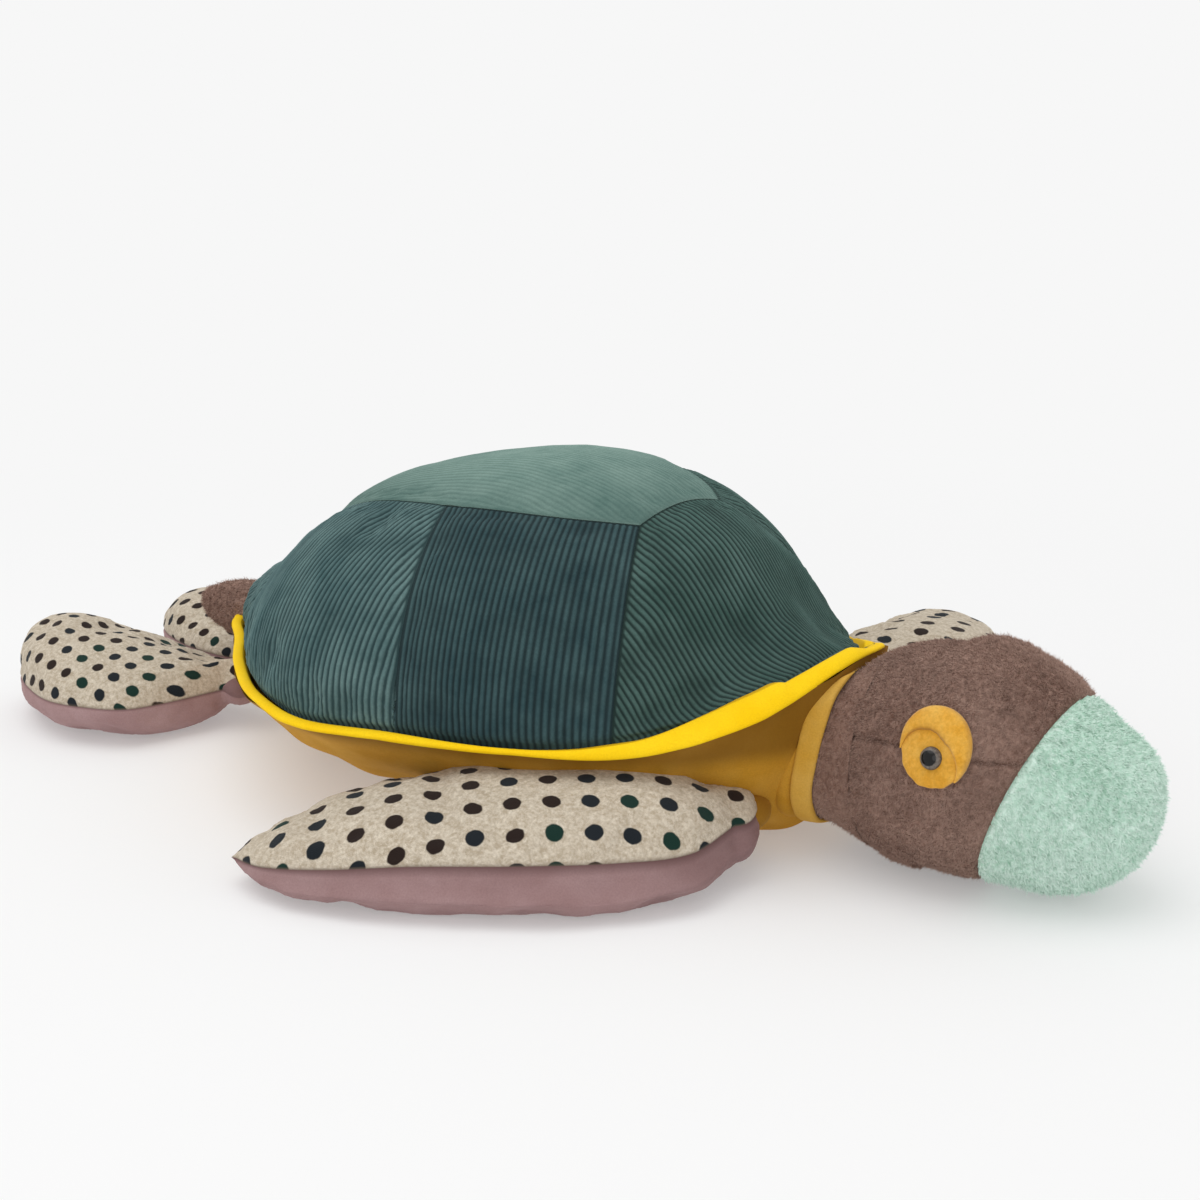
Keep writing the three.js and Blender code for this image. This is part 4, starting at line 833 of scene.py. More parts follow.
def shell_panel(panel):
    if panel in SIDES:
        wale = SIDE_WALE
        fore, aft = (places[-1] for places in SEAM_PLACES[SIDES[panel]])
        lines = np.linspace(aft, fore, round((fore - aft) * LINES_PER_WALE / wale))
    else:
        wale = WALE
        lines = np.arange(*PANEL_REACH[panel], wale / LINES_PER_WALE)
    grid, kept = panel_grid(panel, lines)
    normal, flip = grid_normals(grid, [0, 0, 40])
    gap, rim_gap = distances(grid, seam_points(panel)), distances(grid, shell_edge())
    rib = np.abs(np.sin(math.pi * ((kept / wale) % 1))) ** WALE_ROUNDNESS
    rib = np.clip(rib * (1 + WALE_RIPPLE * ripples(grid)), 0, 1.2) * ease(gap / WALE_START)
    height = WALE_HEIGHT.get(panel, SIDE_WALE_HEIGHT) * (rib - WALE_MIDDLE)
    height += PUFF * (0.5 - np.exp(-gap / PUFF_REACH)) - SEAM_DEPTH * (1 - ease(gap / SEAM_REACH))
    height += LUMP * lumps(grid) * ease(gap / LUMP_FADE)
    height += RIPPLE * ripples(grid) * ease(gap / RIPPLE_FADE)
    # Under the trim the cloth turns inward, and its edge stands up as the lip does.
    cover = table_value(TRIM, 1, share_at(grid[..., 0]))
    covered = (1 - ease((rim_gap - cover) / TUCK_REACH))[..., None]
    inward = unit(grid * [-0.5, -1, 0])
    points = grid + normal * height[..., None] * (1 - covered) + (inward * TUCK + [0, 0, 0.5]) * covered
    points = points + SHELL_SKIN.over(grid, normal, np.minimum(gap, rim_gap - cover))
    risen = np.minimum(rim_gap / cover, 1) * np.exp(-np.maximum(rim_gap - cover, 0) / LIP_REACH)
    points[..., 2] += lip_at(grid) * risen
    # Painted shade along the seams and where the trim covers the cloth; the skirt takes it in full.
    seam = np.maximum(1 - ease((gap - 0.1) / SEAM_SHADOW), 0.9 * (1 - ease((rim_gap - cover) / 4)))
    # Painted shade that grows lower down the panel.
    low_shade = np.clip((SHELL_TOP - grid[..., 2]) / LOW_SHADE_DEPTH.get(panel, FULL_LOW_SHADE_DEPTH), 0, 1)
    points, faces, values = skirted(
        pulled(points), grid_faces(grid), inward * covered - normal * (1 - covered),
        {"wale": (rib, 0.0), "seam": (seam, 1.0), "low_shade": (low_shade, None)})
    add_piece(f"{panel}_shell_cloth", points, faces[:, ::-1] if flip else faces, PANELS[panel], values,
              "body", f"shell_{panel}_panel", fill=0.9)


for panel_name in PANELS:
    shell_panel(panel_name)


# Trim, belly, collar
def add_trim():
    """A flat band of cloth from the shell's lower edge over the rim."""
    points, shares, outward = rim_path()
    cover, past = (table_value(TRIM, n, shares) for n in (1, 2))
    side = np.where(points[:, 1] <= 0, 1, -1)
    along_x = np.clip(points[:, 0], -SHELL_REAR + 0.01, SHELL_FRONT - 0.01)
    inner = on_dome(along_x, side * np.maximum(arc_at(along_x) - cover, 0))
    # Round the shell's point the cover is measured square to the rim.
    pointed = ease((shares - TRIM_POINT_FROM) / TRIM_POINT_FADE)[:, None]
    square = dome_above((points - outward * cover[:, None])[:, :2])
    inner = inner * (1 - pointed) + square * pointed
    inner[:, 2] += lip_at(inner) + TRIM_POINT_RISE * pointed[:, 0]
    flutter = sum(height * Noise(length)(points) for length, height in TRIM_FLUTTER)
    front = ease((shares - 0.72) / 0.1)[:, None] * (1 - 0.8 * ease((shares - 0.97) / 0.03)[:, None])
    outer = points + outward * past[:, None] - np.array([0, 0, TRIM_DROP]) * front
    reach = unit(outer - inner)
    normal = unit(np.cross(reach, unit(np.roll(points, -1, 0) - np.roll(points, 1, 0))))
    normal *= np.sign(normal[:, [2]] + 1e-9)
    width = np.linalg.norm(outer - inner, axis=1)[:, None]
    across, level = TRIM_OUTLINE.T[:, None]
    on_band = np.clip(across, 0, 1)
    arch = TRIM_ARCH * np.sin(math.pi * on_band) * width
    lift = level * TRIM_THICKNESS * TRIM_ROUND + arch + TRIM_LIFT + flutter[:, None] * on_band
    sections = inner[:, None] + reach[:, None] * (across * width)[..., None]
    sections = sections + normal[:, None] * lift[..., None]
    values = {"shade": np.tile((across[0] < 0.04) * 0.75, len(points))}
    add_piece("trim_band", pulled(sections), hoop_faces(sections), "trim", values, "body", "shell_trim")


BELLY_LUMP, BELLY_LUMP_LENGTH, BELLY_FLAT_FADE = 1.1, 38, 12


def add_belly():
    s = {key: value[:, None] for key, value in body_sizes(crowded(170)).items()}
    angle = np.linspace(0, math.pi / 2, 40)[None]
    level = np.minimum(s["flat"], s["half"] / 2)
    across, upright = (wave(angle) ** (2 / BELLY_FULLNESS) for wave in (np.cos, np.sin))
    inner = np.linspace(1, 0, 8)[None, 1:]
    y = np.concatenate([level + across * (s["half"] - level), level * inner], 1)
    z = np.concatenate([s["rim"] - upright * (s["rim"] - s["bottom"]), s["bottom"] + 0 * inner], 1)
    right = stacked(s["x"], -y, z)
    grid = np.concatenate([right, right[:, -2::-1] * [1, -1, 1]], 1)
    normal, flip = grid_normals(grid, [0, 0, 60])
    lift = BELLY_LUMP * Noise(BELLY_LUMP_LENGTH)(grid) * ease((grid[..., 2] - 1) / BELLY_FLAT_FADE)
    grid = grid + normal * lift[..., None]
    grid[..., 2] = np.maximum(grid[..., 2], 0.15)
    depth = np.clip((RIM_HEIGHT - grid[..., 2]) / RIM_HEIGHT, 0, 1)
    add_piece("belly_cloth", pulled(grid), grid_faces(grid, flip=flip), "belly",
              {"shade": 0.75 * (1 - ease(depth * 5))}, "body", "belly_cover", "body_stuffing",
              fill=0.8, weld=True)


def neck_ring(x, swell, angle):
    """A ring of the neck at a place, moved out by a swell, with flat sides."""
    middle = (NECK_TOP + NECK_BOTTOM) / 2
    place = np.clip((x - NECK_ROOT) / (COLLAR_FRONT - NECK_ROOT), 0, 1)
    half = NECK_WIDTH / 2 * (1 + np.interp(place, [0, 0.5, 1], NECK_WIDENING)) + swell
    tall = (NECK_TOP - NECK_BOTTOM) / 2 + swell
    across, upright = (signed_power(v, 2 / NECK_FULLNESS) for v in (np.cos(angle), np.sin(angle)))
    ceiling = table_value(BODY, 2, share_at(x)) * RIM_HEIGHT - UNDER_RIM
    z = np.minimum(middle + tall * upright, ceiling)
    low = np.clip((NECK_TOP - z) / (NECK_TOP - NECK_BOTTOM), 0, 1)
    return stacked(x - CUFF_SLANT * place * low, half * across, z)


FOLD_DEPTH, FOLD_LENGTH, CREASE_DEPTH, CREASE_LENGTH, FOLDS_FROM = 1.2, 3.6, 0.4, 2.3, 118
COLLAR_EASE, SHELL_PRESS = 0.8, 4.0


def add_collar():
    angle = around(160)
    x = np.linspace(NECK_ROOT - 8, COLLAR_FRONT - CUFF_WIDTH + 2, 70)[:, None]
    drift = 2.5 * np.sin(angle * 2 + 0.6) + 1.5 * np.sin(angle * 3 + 2.0)
    folds = FOLD_DEPTH * np.sin((x + drift) / FOLD_LENGTH) * ease((x - FOLDS_FROM) / 25)
    folds = folds + CREASE_DEPTH * np.sin((x - drift) / CREASE_LENGTH + angle * 2)
    under_shell = ease((np.sin(angle) - 0.35) / 0.4)
    swell = folds * (1 - 0.8 * under_shell) - COLLAR_EASE
    swell = swell - SHELL_PRESS * under_shell * ease((168 - x) / 20)
    grid = neck_ring(x + 0 * angle, swell, angle)
    shade = 0.4 * np.clip(-folds / 2.0, 0, 1) + 0.3 * (1 - ease((x - FOLDS_FROM) / 40))
    add_piece("collar_cloth", grid, grid_faces(grid, wrap=True), "belly", {"shade": shade},
              "body", "collar", fill=0.4)


def add_cuff():
    turn, ring = around(20), around(160).T
    middle_x = COLLAR_FRONT - CUFF_WIDTH / 2 + 0.5 * np.sin(ring * 3 + 1) + 0.3 * np.sin(ring * 7)
    thick = CLOTH * 0.7 + 0.25 * np.sin(ring * 5 + 2)
    along = CUFF_WIDTH / 2 * signed_power(np.cos(turn), 0.5)
    cuff = neck_ring(middle_x + along, thick * signed_power(np.sin(turn), 0.7) + 0.4, ring)
    add_piece("collar_cuff_cloth", cuff, hoop_faces(cuff), "cuff",
              {"shade": 0.5 * ease(-np.sin(turn) * 2) + 0 * ring}, "body", "collar_cuff", fill=0.5)


add_trim()
add_belly()
add_collar()
add_cuff()


# Head
def head_section(x_share):
    """The half width, top and bottom of the head at a share of its reach ahead of the ball's middle."""
    ahead = np.clip(x_share, 0, 1)
    return (round_value(HEAD, 1, ahead) * HEAD_WIDTH / 2, table_value(HEAD, 2, ahead) * HEAD_TOP,
            table_value(HEAD, 3, ahead) * HEAD_TOP)


def head_point(place, angle):
    """A point of the head. Place runs from -1, the back of the ball, over 0 to 1, the nose."""
    place, angle = np.broadcast_arrays(place, angle)
    behind = np.clip(place, -1, 0)
    half, top, bottom = head_section(place)
    bottom = np.maximum(bottom, 0.2)
    radius = HEAD_BALL * np.sqrt(np.maximum(1 - behind ** 2, 0))
    back = place < 0
    x = HEAD_X + np.where(back, behind * HEAD_BALL, np.clip(place, 0, 1) * HEAD_REACH)
    y = np.where(back, radius, half) * np.cos(angle)
    z = np.where(back, HEAD_Z + radius * np.sin(angle),
                 (top + bottom) / 2 + (top - bottom) / 2 * np.sin(angle))
    return np.stack([x, y, np.maximum(z, 0.2)], -1)


def ahead_of_muzzle_seam(p):
    lean = (MUZZLE_TOP_REACH - MUZZLE_BOTTOM_REACH) / HEAD_TOP
    return p[..., 0] > HEAD_X + MUZZLE_BOTTOM_REACH + lean * p[..., 2]


def muzzle_place(angle):
    """Where the tilted seam between face and muzzle crosses a line along the head."""
    low, high = np.zeros_like(angle), np.ones_like(angle)
    for _ in range(30):
        middle = (low + high) / 2
        ahead = ahead_of_muzzle_seam(head_point(middle, angle))
        high, low = np.where(ahead, middle, high), np.where(ahead, low, middle)
    return (low + high) / 2


def side_seam_angle(place):
    """The angle of the seam along the head's side."""
    _, top, bottom = head_section(place)
    return np.arcsin(np.clip((HEAD_SEAM_Z - (top + bottom) / 2) / ((top - bottom) / 2), -1, 1))


fine_lumps, soft_lumps = Noise(5.0, 30), Noise(26)
PILE_DEPTH, UNDER_SINK, UNDER_BELOW, FUR_LUMP, FUR_LUMP_FADE = 1.3, 1.8, 35, 0.5, 8
SEAM_SINK, SEAM_SINK_REACH, FUR_PUFF, FUR_PUFF_REACH = 1.0, 2.2, 0.6, 9


def furry(name, grid, gap, body, look, *nodes, wrap=False, tufts=0.5):
    """A piece of pile cloth over a grid, sunk at its seams and a little uneven."""
    normal, flip = grid_normals(grid, grid.reshape(-1, 3).mean(0), wrap)
    height = tufts * fine_lumps(grid) + FUR_LUMP * soft_lumps(grid) * ease(gap / FUR_LUMP_FADE) - PILE_DEPTH
    height = height - SEAM_SINK * (1 - ease(gap / SEAM_SINK_REACH))
    height = height + FUR_PUFF * (1 - np.exp(-gap / FUR_PUFF_REACH))
    height = height - UNDER_SINK * (1 - ease(grid[..., 2] / UNDER_BELOW))
    points = grid + normal * height[..., None]
    points[..., 2] = np.maximum(points[..., 2], 0.1)
    add_piece(name, points, grid_faces(grid, wrap, flip), look,
              {"tip": 0.0, "shade": 0.6 * (1 - ease(gap / 1.5))}, body, *nodes, fill=0.9, weld=True)
    return points, normal


HAIR_BEND, HAIR_RISE, HAIR_TIP_RISE, HAIR_LAY, HAIR_ROOT, HAIR_SPREAD = 0.55, 0.62, 0.55, 0.75, 0.4, 0.5


def strands(name, points, normals, count, length, lay, body, look="fur", width=0.34, curl=0.25):
    """Short tapering hairs that stand on a grid of points and lie over towards a direction."""
    rows, columns = points.shape[:2]
    i, j = (RNG.integers(0, size - 1, count * 3) for size in (rows, columns))
    a, b, c = points[i, j], points[i + 1, j], points[i, j + 1]
    area = np.linalg.norm(np.cross(b - a, c - a), axis=1)
    keep = np.flatnonzero(RNG.uniform(0, 1, len(area)) < area / np.quantile(area, 0.98))[:count]
    a, b, c, out = a[keep], b[keep], c[keep], normals[i[keep], j[keep]]
    u, v = RNG.uniform(0, 1, (2, len(keep), 1))
    base = a + (b - a) * u + (c - a) * v
    size = length * RNG.uniform(0.6, 1.25, (len(keep), 1))
    flow = unit(np.asarray(lay) - out * (out @ np.asarray(lay))[:, None])
    flow = unit(flow + RNG.normal(0, HAIR_SPREAD, flow.shape))
    middle = base + (out * HAIR_RISE + flow * curl) * size * HAIR_BEND
    tip = base + (out * HAIR_TIP_RISE + flow * (HAIR_LAY + curl)) * size
    wide = unit(np.cross(out, RNG.normal(size=out.shape))) * width / 2
    base = base - out * HAIR_ROOT
    corners = np.stack([base - wide, base + wide, middle + wide * 0.7, middle - wide * 0.7, tip], 1)
    corners[..., 2] = np.maximum(corners[..., 2], 0.05)
    first = np.arange(len(keep))[:, None] * 5
    faces = (first + [0, 1, 2, 3]).tolist() + (first + [3, 2, 4]).tolist()
    values = {"tip": np.tile([0.0, 0.0, 0.5, 0.5, 1.0], len(keep)), "shade": 0.0}
    add_piece(name, corners, faces, look, values, body, smooth=False)


def face_grid(columns, angle_of):
    """A grid of the face between two angles, from the back of the ball to the muzzle's seam."""
    across = np.linspace(0, 1, columns)[None]
    along = np.linspace(0, 1, 110)[:, None]
    share = np.zeros((110, columns))
    for _ in range(12):
        end = muzzle_place(angle_of(side_seam_angle(share), across))
        share = -np.cos(math.pi / 2 * np.minimum(along / 0.42, 1)) + np.maximum(along - 0.42, 0) / 0.58 * end
    return head_point(share, angle_of(side_seam_angle(share), across))


def head_seams():
    """Points all along the head's seams."""
    angle = np.linspace(0, 2 * math.pi, 900)
    share = np.linspace(-1, 0.75, 500)
    low = side_seam_angle(share)
    sides = [head_point(share, low), head_point(share, math.pi - low)]
    ring = head_point(muzzle_place(angle), angle)
    return np.concatenate([ring, *(p[~ahead_of_muzzle_seam(p)] for p in sides)])


FUR_LAY = (-0.6, 0, -0.8)
LINING_BACK, LINING_FRONT, LINING_EASE, LINING_SINK = 3, 23, 1.2, 0.4


def add_head():
    seams = head_seams()
    upper = face_grid(150, lambda low, across: low + (math.pi - 2 * low) * across)
    lower = face_grid(190, lambda low, across: math.pi - low + (math.pi + 2 * low) * across)
    angle = around(240)
    start = muzzle_place(angle)
    muzzle = head_point(start + (1 - start) * np.sin(np.linspace(0, math.pi / 2, 90))[:, None], angle)
    top = furry("head_upper_fur", upper, distances(upper, seams), "head", "fur", "head_upper_cover")
    low = furry("head_lower_fur", lower, distances(lower, seams), "head", "fur", "head_lower_cover",
                "head_stuffing")
    nose = furry("muzzle_boucle_cloth", muzzle, distances(muzzle, seams), "head", "boucle", "muzzle_cover",
                 wrap=True, tufts=0.6)
    strands("head_upper_pile", *top, 56000, 1.6, FUR_LAY, "head")
    strands("head_lower_pile", *low, 64000, 1.6, FUR_LAY, "head")
    strands("muzzle_loops", *nose, 40000, 1.25, (0.2, 0.3, -0.4), "head", "boucle", width=0.62, curl=0.9)


add_head()


# Eyes
def head_side(x, z, side, proud):
    """A point on the side of the head at a place in x and z, moved out by a distance."""
    half, top, bottom = head_section((x - HEAD_X) / HEAD_REACH)
    middle, tall = (top + bottom) / 2, (top - bottom) / 2
    y = side * half * np.sqrt(1 - np.clip((z - middle) / tall, -0.999, 0.999) ** 2)
    out = unit(np.stack([0 * y, y / half ** 2, (z - middle) / tall ** 2], -1))
    return stacked(x, y, z) + out * np.asarray(proud)[..., None]


def on_patch(reach, angle):
    """Places in x and z at a reach, as a share of the patch's, and an angle round its middle."""
    return (EYE_X + PATCH_WIDTH / 2 * reach * np.cos(angle),
            EYE_Z + PATCH_RISE + PATCH_HEIGHT / 2 * reach * np.sin(angle))


PATCH_HIGH, STITCH_DEPTH, STITCH_COUNT, DISH_DEPTH, DISH_REACH = 2.6, 0.5, 44, 1.1, 5.5


def add_patch(side, word):
    angle = around(96)
    ring = np.concatenate([np.linspace(0.02, 0.93, 16), [0.96, 0.985, 1.0, 1.0, 0.97]])[:, None]
    rise = np.concatenate([np.full(16, 1.0), [0.95, 0.8, 0.45, -0.2, -0.6]])[:, None] * PATCH_HIGH
    ragged = 1 + 0.012 * np.sin(angle * 9 + side) + 0.01 * np.sin(angle * 17 + 2)
    x, z = on_patch(ring * ragged, angle)
    stitch = STITCH_DEPTH * np.exp(-((ring - 0.9) / 0.03) ** 2) * (0.6 + 0.4 * np.sin(angle * STITCH_COUNT))
    dish = DISH_DEPTH * np.exp(-((x - EYE_X) ** 2 + (z - EYE_Z) ** 2) / DISH_REACH ** 2)
    proud = rise - stitch - dish + 0.15 * np.sin(angle * 5) * ring
    shade = 0.5 * (ring > 0.99) + 0.35 * stitch + 0.3 * dish
    add_piece(f"eye_patch_felt_{word}", head_side(x, z, side, proud), grid_faces(x, wrap=True, flip=side < 0),
              "patch", {"shade": shade}, "head", f"eye_patch_{word}", weld=True)


# The lid's inner edge round the patch: angle in degrees from the front over the top, and reach as a
# share of the patch's.
LID_EDGE = ((-44, 1.0), (-21, 0.8), (5, 0.52), (30, 0.36), (60, 0.33), (95, 0.4), (127, 0.52), (150, 0.68),
            (180, 0.9), (190, 1.0))
LID_OUTER, LID_FOOT, LID_REST, LID_THIN, LID_SWELL, LID_FADE = 1.045, 0.8, 1.8, 0.9, 2.8, 0.3


def add_lid(side, word):
    """A crescent of felt over the top and front of the patch, raised over the eye."""
    degrees = np.linspace(LID_EDGE[0][0], LID_EDGE[-1][0], 110)[:, None]
    across = np.linspace(0, 1, 14)[None]
    inner = np.minimum(np.interp(degrees, *zip(*LID_EDGE)), 0.99)
    x, z = on_patch(inner + (LID_OUTER - inner) * across, np.radians(degrees))
    dome = 1 - np.abs(2 * across - 1) ** 3
    proud = LID_REST + (LID_THIN + LID_SWELL * ease((1.0 - inner) / LID_FADE)) * dome ** 0.5
    bottom = head_side(x, z, side, proud * 0 + LID_FOOT)
    ring = np.concatenate([head_side(x, z, side, proud), bottom[:, ::-1]], 1)
    shade = 0.9 * (1 - ease(across * 7)) + 0.3 * (1 - ease((1 - across) * 9)) + 0 * degrees
    add_piece(f"eyelid_felt_{word}", ring, grid_faces(ring, wrap=True, flip=side > 0), "patch",
              {"shade": np.concatenate([shade, shade * 0 + 0.8], 1)}, "head", f"eyelid_{word}")


# Rings from the middle of the eye's dome to its foot, and the heights of the last three.
EYE_RINGS = np.array([0.0, 0.15, 0.3, 0.45, 0.6, 0.68, 0.74, 0.82, 0.9, 0.95, 1.0, 1.03, 1.03, 0.9])
EYE_FOOT = CLOTH * np.array([0.68, 0.4, 0.1])


def add_eye(side, word):
    surface = head_side(np.array(EYE_X), np.array(EYE_Z), side, 0.0)
    out = head_side(np.array(EYE_X), np.array(EYE_Z), side, 1.0) - surface
    level = unit(np.cross([0, 0, 1], out))
    ring, angle = EYE_RINGS[:, None], around(48)
    height = CLOTH * 0.7 + EYE_BULGE * np.sqrt(np.maximum(1 - np.minimum(ring, 1) ** 2.2, 0))
    height[-3:, 0] = EYE_FOOT
    radius = EYE_DIAMETER / 2 * ring
    points = (surface + out * height[..., None] + level * (radius * np.cos(angle))[..., None]
              + np.cross(out, level) * (radius * np.sin(angle))[..., None])
    add_piece(f"eye_dome_{word}", points, grid_faces(points, wrap=True), "eye", {"ring": ring + 0 * angle},
              "head", f"eye_{word}", weld=True)


washer_look = plastic("washer_plastic", "1e1e20", 0.4)
for side_word, side_sign in SIDES.items():
    add_patch(side_sign, side_word)
    add_lid(side_sign, side_word)
    add_eye(side_sign, side_word)
    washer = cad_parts[f"eye_washer_{side_word}"]
    washer.data.materials.clear()
    washer.data.materials.append(washer_look)


def add_neck_lining():
    """Fur that fills the collar's mouth round the head's ball."""
    angle = around(96)
    share = np.linspace(0, 1, 14)[:, None]
    x = COLLAR_FRONT - LINING_BACK + (HEAD_X - LINING_FRONT - COLLAR_FRONT + LINING_BACK) * share
    mouth = neck_ring(COLLAR_FRONT - LINING_BACK + 0 * share, -LINING_EASE, angle)
    radius = np.sqrt(HEAD_BALL ** 2 - (x - HEAD_X) ** 2) - LINING_SINK
    ball = stacked(x, radius * np.cos(angle), HEAD_Z + radius * np.sin(angle))
    mix = ease(share)[..., None]
    grid = mouth * (1 - mix) + ball * mix
    grid[..., 2] = np.maximum(grid[..., 2], 1.0)
    cap_share = np.linspace(0.05, 1, 6)[:, None, None]
    cap = np.array([COLLAR_FRONT - 8, 0, HEAD_Z]) * (1 - cap_share) + grid[:1] * cap_share
    grid = np.concatenate([cap, grid[1:]])
    normal, _ = grid_normals(grid, [HEAD_X, 0, HEAD_Z], wrap=True)
    add_piece("neck_lining", grid, grid_faces(grid, wrap=True), "fur", {"tip": 0.0, "shade": 0.25},
              "neck", "neck_cushion", fill=0.5)
    strands("neck_pile", grid[5:], normal[5:], 7000, 1.4, FUR_LAY, "neck")


add_neck_lining()

# Flippers
ROOT_FULLNESS, TOP_FULLNESS, TIP_FROM = 2.0, 1.9, 0.97
GUSSET_TALL, GUSSET_EASE = 0.5, 1.5
FLIPPER_LUMP, FLIPPER_LUMP_FADE, FLIPPER_FOLD, FLIPPER_FOLD_FADE = 0.5, 14, 0.2, 5
FLIPPER_SINK, FLIPPER_SINK_REACH, FLIPPER_ROWS, FLIPPER_COLUMNS = 0.8, 2.0, 110, 74


def flipper_matrix(form, side, heading, raised):
    """How a flipper's own frame lies in the turtle's."""
    root = Vector((form["root"][0], side * form["root"][1], form["root"][2]))
    turn = Matrix.Rotation(math.pi - side * math.radians(heading), 4, "Z")
    lift = Matrix.Rotation(-math.radians(raised), 4, "Y")
    return np.array(Matrix.Translation(root) @ turn @ lift)


def flipper_section(form, share, angle, side, height):
    """A point in a flipper's own frame. The angle is 0 on the leading edge and quarter turn on top."""
    rows = form["rows"]
    behind = np.clip(-share * form["length"] / form["behind"], 0, 1)
    shrink = np.maximum(1 - behind ** ROOT_FULLNESS, 0) ** (1 / ROOT_FULLNESS)
    ahead = np.clip(share, 0, 1)
    shrink = shrink * np.sqrt(1 - np.clip((ahead - TIP_FROM) / (1 - TIP_FROM), 0, 1) ** 2)
    lead, trail = (table_value(rows, n, ahead) * form["width"] for n in (1, 2))
    top, bottom, seam = (table_value(rows, n, ahead) * height for n in (3, 4, 5))
    bottom = np.maximum(bottom, 0.3)
    seam = seam + (top - seam) * form["seam_lift"]
    sine, cosine = np.sin(angle), np.cos(angle)
    above = sine >= 0
    full = np.where(above, TOP_FULLNESS, form["full"])
    across, upright = signed_power(cosine, 2 / full), signed_power(sine, 2 / full)
    bulge = 1 + np.where(above, 0, form["bulge"] * ease(np.abs(sine) * 2.5))
    z = seam + upright * np.where(above, top - seam, seam - bottom) * shrink
    v = (lead + trail) / 2 + (lead - trail) / 2 * across * bulge * shrink
    return stacked(share * form["length"], -side * v, z - form["root"][2])


flipper_lumps, flipper_folds = Noise(45), Noise(18)


def cloth_places(own, form, side):
    """The flat coordinates of a flipper's cloth, for its weave and dots."""
    steps = np.linalg.norm(np.diff(own, axis=1), axis=2)
    arc = np.concatenate([np.zeros((len(own), 1)), np.cumsum(steps, 1)], 1)
    middle = arc[:, [arc.shape[1] // 2]]
    flat = np.stack([own[..., 0], (arc - middle) * -side, 0 * arc], -1) + [*form["dots_shift"], 0]
    cosine, sine = (wave(math.radians(form["dots_turn"])) for wave in (math.cos, math.sin))
    return flat @ np.array([[cosine, -sine, 0], [sine, cosine, 0], [0, 0, 1]])


def moved(points, matrix):
    return points @ matrix[:3, :3].T + matrix[:3, 3]


def add_flipper(name, form, side, height, matrix):
    kind, word = name.split("_")
    behind = form["behind"] / form["length"]
    share = 0.55 * np.linspace(0, 1, FLIPPER_ROWS) + 0.45 * crowded(FLIPPER_ROWS)
    share = (1 + behind) * share[:, None] - behind
    share[-1] = 1.0
    ring = flipper_section(form, share[::3], around(48), side, height)
    edges = flipper_section(form, share, np.array([[0.0, math.pi]]), side, height)
    skin = Settled(ring, grid_faces(ring, wrap=True), edges.reshape(-1, 3), *FLIPPER_GROWTH)
    for part, low, look in (("top", 0.0, f"dotted_{kind}"), ("bottom", math.pi, "mauve")):
        angle = np.linspace(low, low + math.pi, FLIPPER_COLUMNS)[None]
        own = flipper_section(form, share, angle, side, height)
        gap = distances(own, np.concatenate([own[:, 0], own[:, -1]]))
        normal, flip = grid_normals(own, own.reshape(-1, 3).mean(0))
        lift = FLIPPER_LUMP * flipper_lumps(own) * ease(gap / FLIPPER_LUMP_FADE)
        lift -= FLIPPER_SINK * (1 - ease(gap / FLIPPER_SINK_REACH))
        lift += FLIPPER_FOLD * flipper_folds(own) * ease(gap / FLIPPER_FOLD_FADE)
        placed = moved(own + normal * lift[..., None] + skin.over(own, normal, gap), matrix)
        placed[..., 2] = np.maximum(placed[..., 2], 0.1)
        # Painted shade along the cloth's edges at the seam; the front flippers' undersides get more painted
        # shade towards the root and a little all over.
        painted_shade = 0.75 * (1 - ease(gap / 1.3))
        if part == "bottom" and kind == "front":
            painted_shade = painted_shade + 0.35 * (1 - ease((share + 0.02) / 0.3)) + 0.2
        nodes = [f"{kind}_flipper_{word}_{solid}" for solid in (f"{part}_cover", "stuffing")]
        add_piece(f"{kind}_flipper_{word}_{part}_cloth", placed, grid_faces(own, flip=flip), look,
                  {"shade": np.clip(painted_shade, 0, 1), "cloth": cloth_places(own, form, side)},
                  f"{name}_flipper", *nodes[:2 if part == "top" else 1], fill=0.8, weld=True)


def add_gusset(name, form, matrix):
    """A cap of velour behind a flipper's root."""
    kind, word = name.split("_")
    angle = around(48)
    polar = np.linspace(0.02, 0.5, 14)[:, None] * math.pi
    radius = (form["ball"] + GUSSET_EASE) * (1 - 0.3 * ease((polar / math.pi - 0.3) / 0.2))
    own = stacked(-radius * np.cos(polar), radius * np.sin(polar) * np.cos(angle),
                  GUSSET_TALL * radius * np.sin(polar) * np.sin(angle))
    add_piece(f"{kind}_flipper_{word}_root_cloth", moved(own, matrix), grid_faces(own, wrap=True),
              "belly" if kind == "front" else "mauve", {"shade": 0.6}, f"{name}_root",
              f"{kind}_flipper_{word}_gusset", fill=0.5)


for name, form, side, height, heading, raised in FLIPPERS:
    root_frame = flipper_matrix(form, side, heading, raised)
    add_flipper(name, form, side, height, root_frame)
    add_gusset(name, form, root_frame)


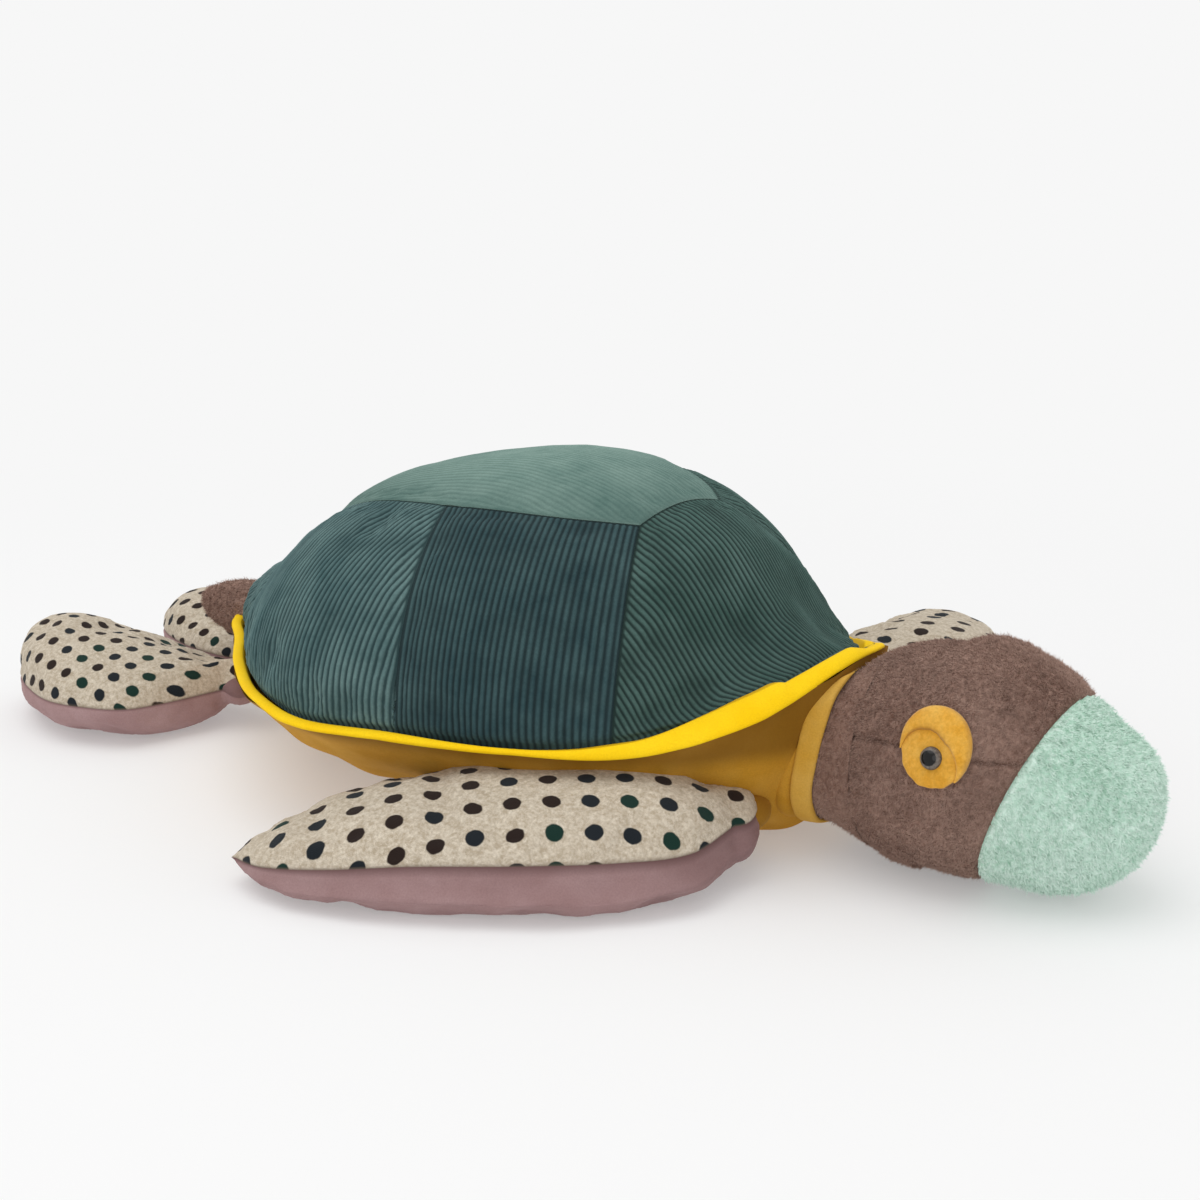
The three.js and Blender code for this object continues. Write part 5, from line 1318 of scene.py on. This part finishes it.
# Tail
def add_tail():
    """A short wedge of fur, flat on top and narrower to its end."""
    angle = around(96)
    along = np.linspace(0, 1, 56)[:, None]
    x = TAIL_X + TAIL_INSIDE - (TAIL_REACH + TAIL_INSIDE) * np.sin(along * math.pi / 2)
    end = np.cos(along * math.pi / 2) ** 0.55
    top = TAIL_TOP + TAIL_PILE - TAIL_TOP_FALL * along
    bottom = TAIL_BOTTOM - TAIL_PILE + TAIL_BOTTOM_RISE * along
    half = TAIL_WIDTH / 2 * TAIL_SWELL * (1 - TAIL_TAPER * along ** 1.5) * end
    y = half * signed_power(np.cos(angle), 0.8)
    z = (top + bottom) / 2 + (top - bottom) / 2 * end ** 0.8 * signed_power(np.sin(angle), 0.8)
    grid = stacked(x, y, z)
    far_from_seams = np.full(grid.shape[:2], 30.0)
    hairy = furry("tail_fur", grid, far_from_seams, "tail", "fur", "tail_cover", "tail_stuffing", wrap=True)
    strands("tail_pile", *hairy, 12000, 1.8, (-0.9, 0, -0.5), "tail")


add_tail()

# Floor, light and camera
CAMERA_PLACE, AZIMUTH, ELEVATION = (542.79, -736.83, 322.29), math.radians(34.5), math.radians(14.547)
BACKDROP, WORLD_LIGHT = "f7f7f7", 0.78
# Each lamp's name, place in metres, width and power.
LAMPS = (("key", (-0.3, -0.5, 2.2), 2.4, 16), ("fill", (1.3, -1.9, 0.9), 1.8, 8))
FLOOR_NEAR, FLOOR_FAR, FLOOR_BEND, FLOOR_TOP, FLOOR_HALF = -2.5, 3.2, 1.2, 3.0, 5.0


def add_floor():
    """A plain floor that curves up into a backdrop far behind."""
    t = np.linspace(0, 1, 60)
    turn = np.maximum(t - 0.5, 0) * math.pi
    reach = FLOOR_NEAR + (FLOOR_FAR - FLOOR_NEAR) * t * 2
    reach = np.where(t < 0.5, reach, FLOOR_FAR + FLOOR_BEND * np.sin(turn))
    reach = np.append(reach, FLOOR_FAR + FLOOR_BEND)
    rise = np.append(FLOOR_BEND * (1 - np.cos(turn)), FLOOR_TOP)
    forward = np.array([-math.sin(AZIMUTH), math.cos(AZIMUTH), 0])
    sideways = np.array([[math.cos(AZIMUTH), math.sin(AZIMUTH), 0]]) * [[-FLOOR_HALF], [FLOOR_HALF]]
    grid = reach[:, None, None] * forward + sideways + rise[:, None, None] * [0, 0, 1]
    paint = Tree.material("floor_paint", BACKDROP)
    paint.finish(Base_Color=paint.mix(paint.noise(3, 2), "f3f3f3", "f5f5f5"), Roughness=0.9,
                 Specular_IOR_Level=0.0)
    # Near the turtle three tenths of the floor's colour is glow, painted light that pales its shadows; far
    # from the turtle the floor turns into an even backdrop.
    away = paint.node("ShaderNodeVectorMath", {0: paint.place()}, operation="LENGTH").outputs["Value"]
    glow = paint.node("ShaderNodeEmission", {"Color": BACKDROP, "Strength": 1.0})
    blend = paint.node("ShaderNodeMixShader", {0: paint.spread(away, 0.2, 0.9, 0.3, 1.0, True),
                                               1: paint.nodes["Principled BSDF"], 2: glow})
    paint.set(paint.nodes["Material Output"].inputs["Surface"], blend)
    made = make_object("floor_sweep", grid / MM, grid_faces(grid), paint.owner)


def aim(made, place, direction):
    """Sets a lamp or camera at a place, looking in a direction."""
    made.location = place
    made.rotation_euler = direction.to_track_quat("-Z", "Y").to_euler()
    bpy.context.scene.collection.objects.link(made)


def add_light(name, position, size, power):
    data = bpy.data.lights.new(name, "AREA")
    data.shape, data.size, data.energy = "DISK", size, power
    aim(bpy.data.objects.new(name, data), position, Vector((0, 0, 0.05)) - Vector(position))


def add_camera():
    data = bpy.data.cameras.new("camera")
    data.lens, data.sensor_width, data.clip_start = 60.0, 36.0, 0.01
    made = bpy.data.objects.new("camera", data)
    level = math.cos(ELEVATION)
    aim(made, Vector(CAMERA_PLACE) * MM,
        Vector((-math.sin(AZIMUTH) * level, math.cos(AZIMUTH) * level, -math.sin(ELEVATION))))
    bpy.context.scene.camera = made


def add_world():
    """Even white light, and the pale backdrop where the camera sees past the floor."""
    world = bpy.data.worlds.new("studio")
    t = Tree(world)
    light = t.nodes["Background"]
    t.set(light.inputs["Color"], (1, 1, 1, 1))
    t.set(light.inputs["Strength"], WORLD_LIGHT)
    seen = t.node("ShaderNodeBackground", {"Color": BACKDROP})
    path = t.node("ShaderNodeLightPath").outputs
    either = t.math("MAXIMUM", path["Is Camera Ray"], path["Is Glossy Ray"])
    mix = t.node("ShaderNodeMixShader", {0: either, 1: light, 2: seen})
    t.set(t.nodes["World Output"].inputs["Surface"], mix)
    bpy.context.scene.world = world


bpy.context.scene.view_settings.view_transform = "Standard"
add_world()
add_floor()
for lamp in LAMPS:
    add_light(*lamp)
add_camera()
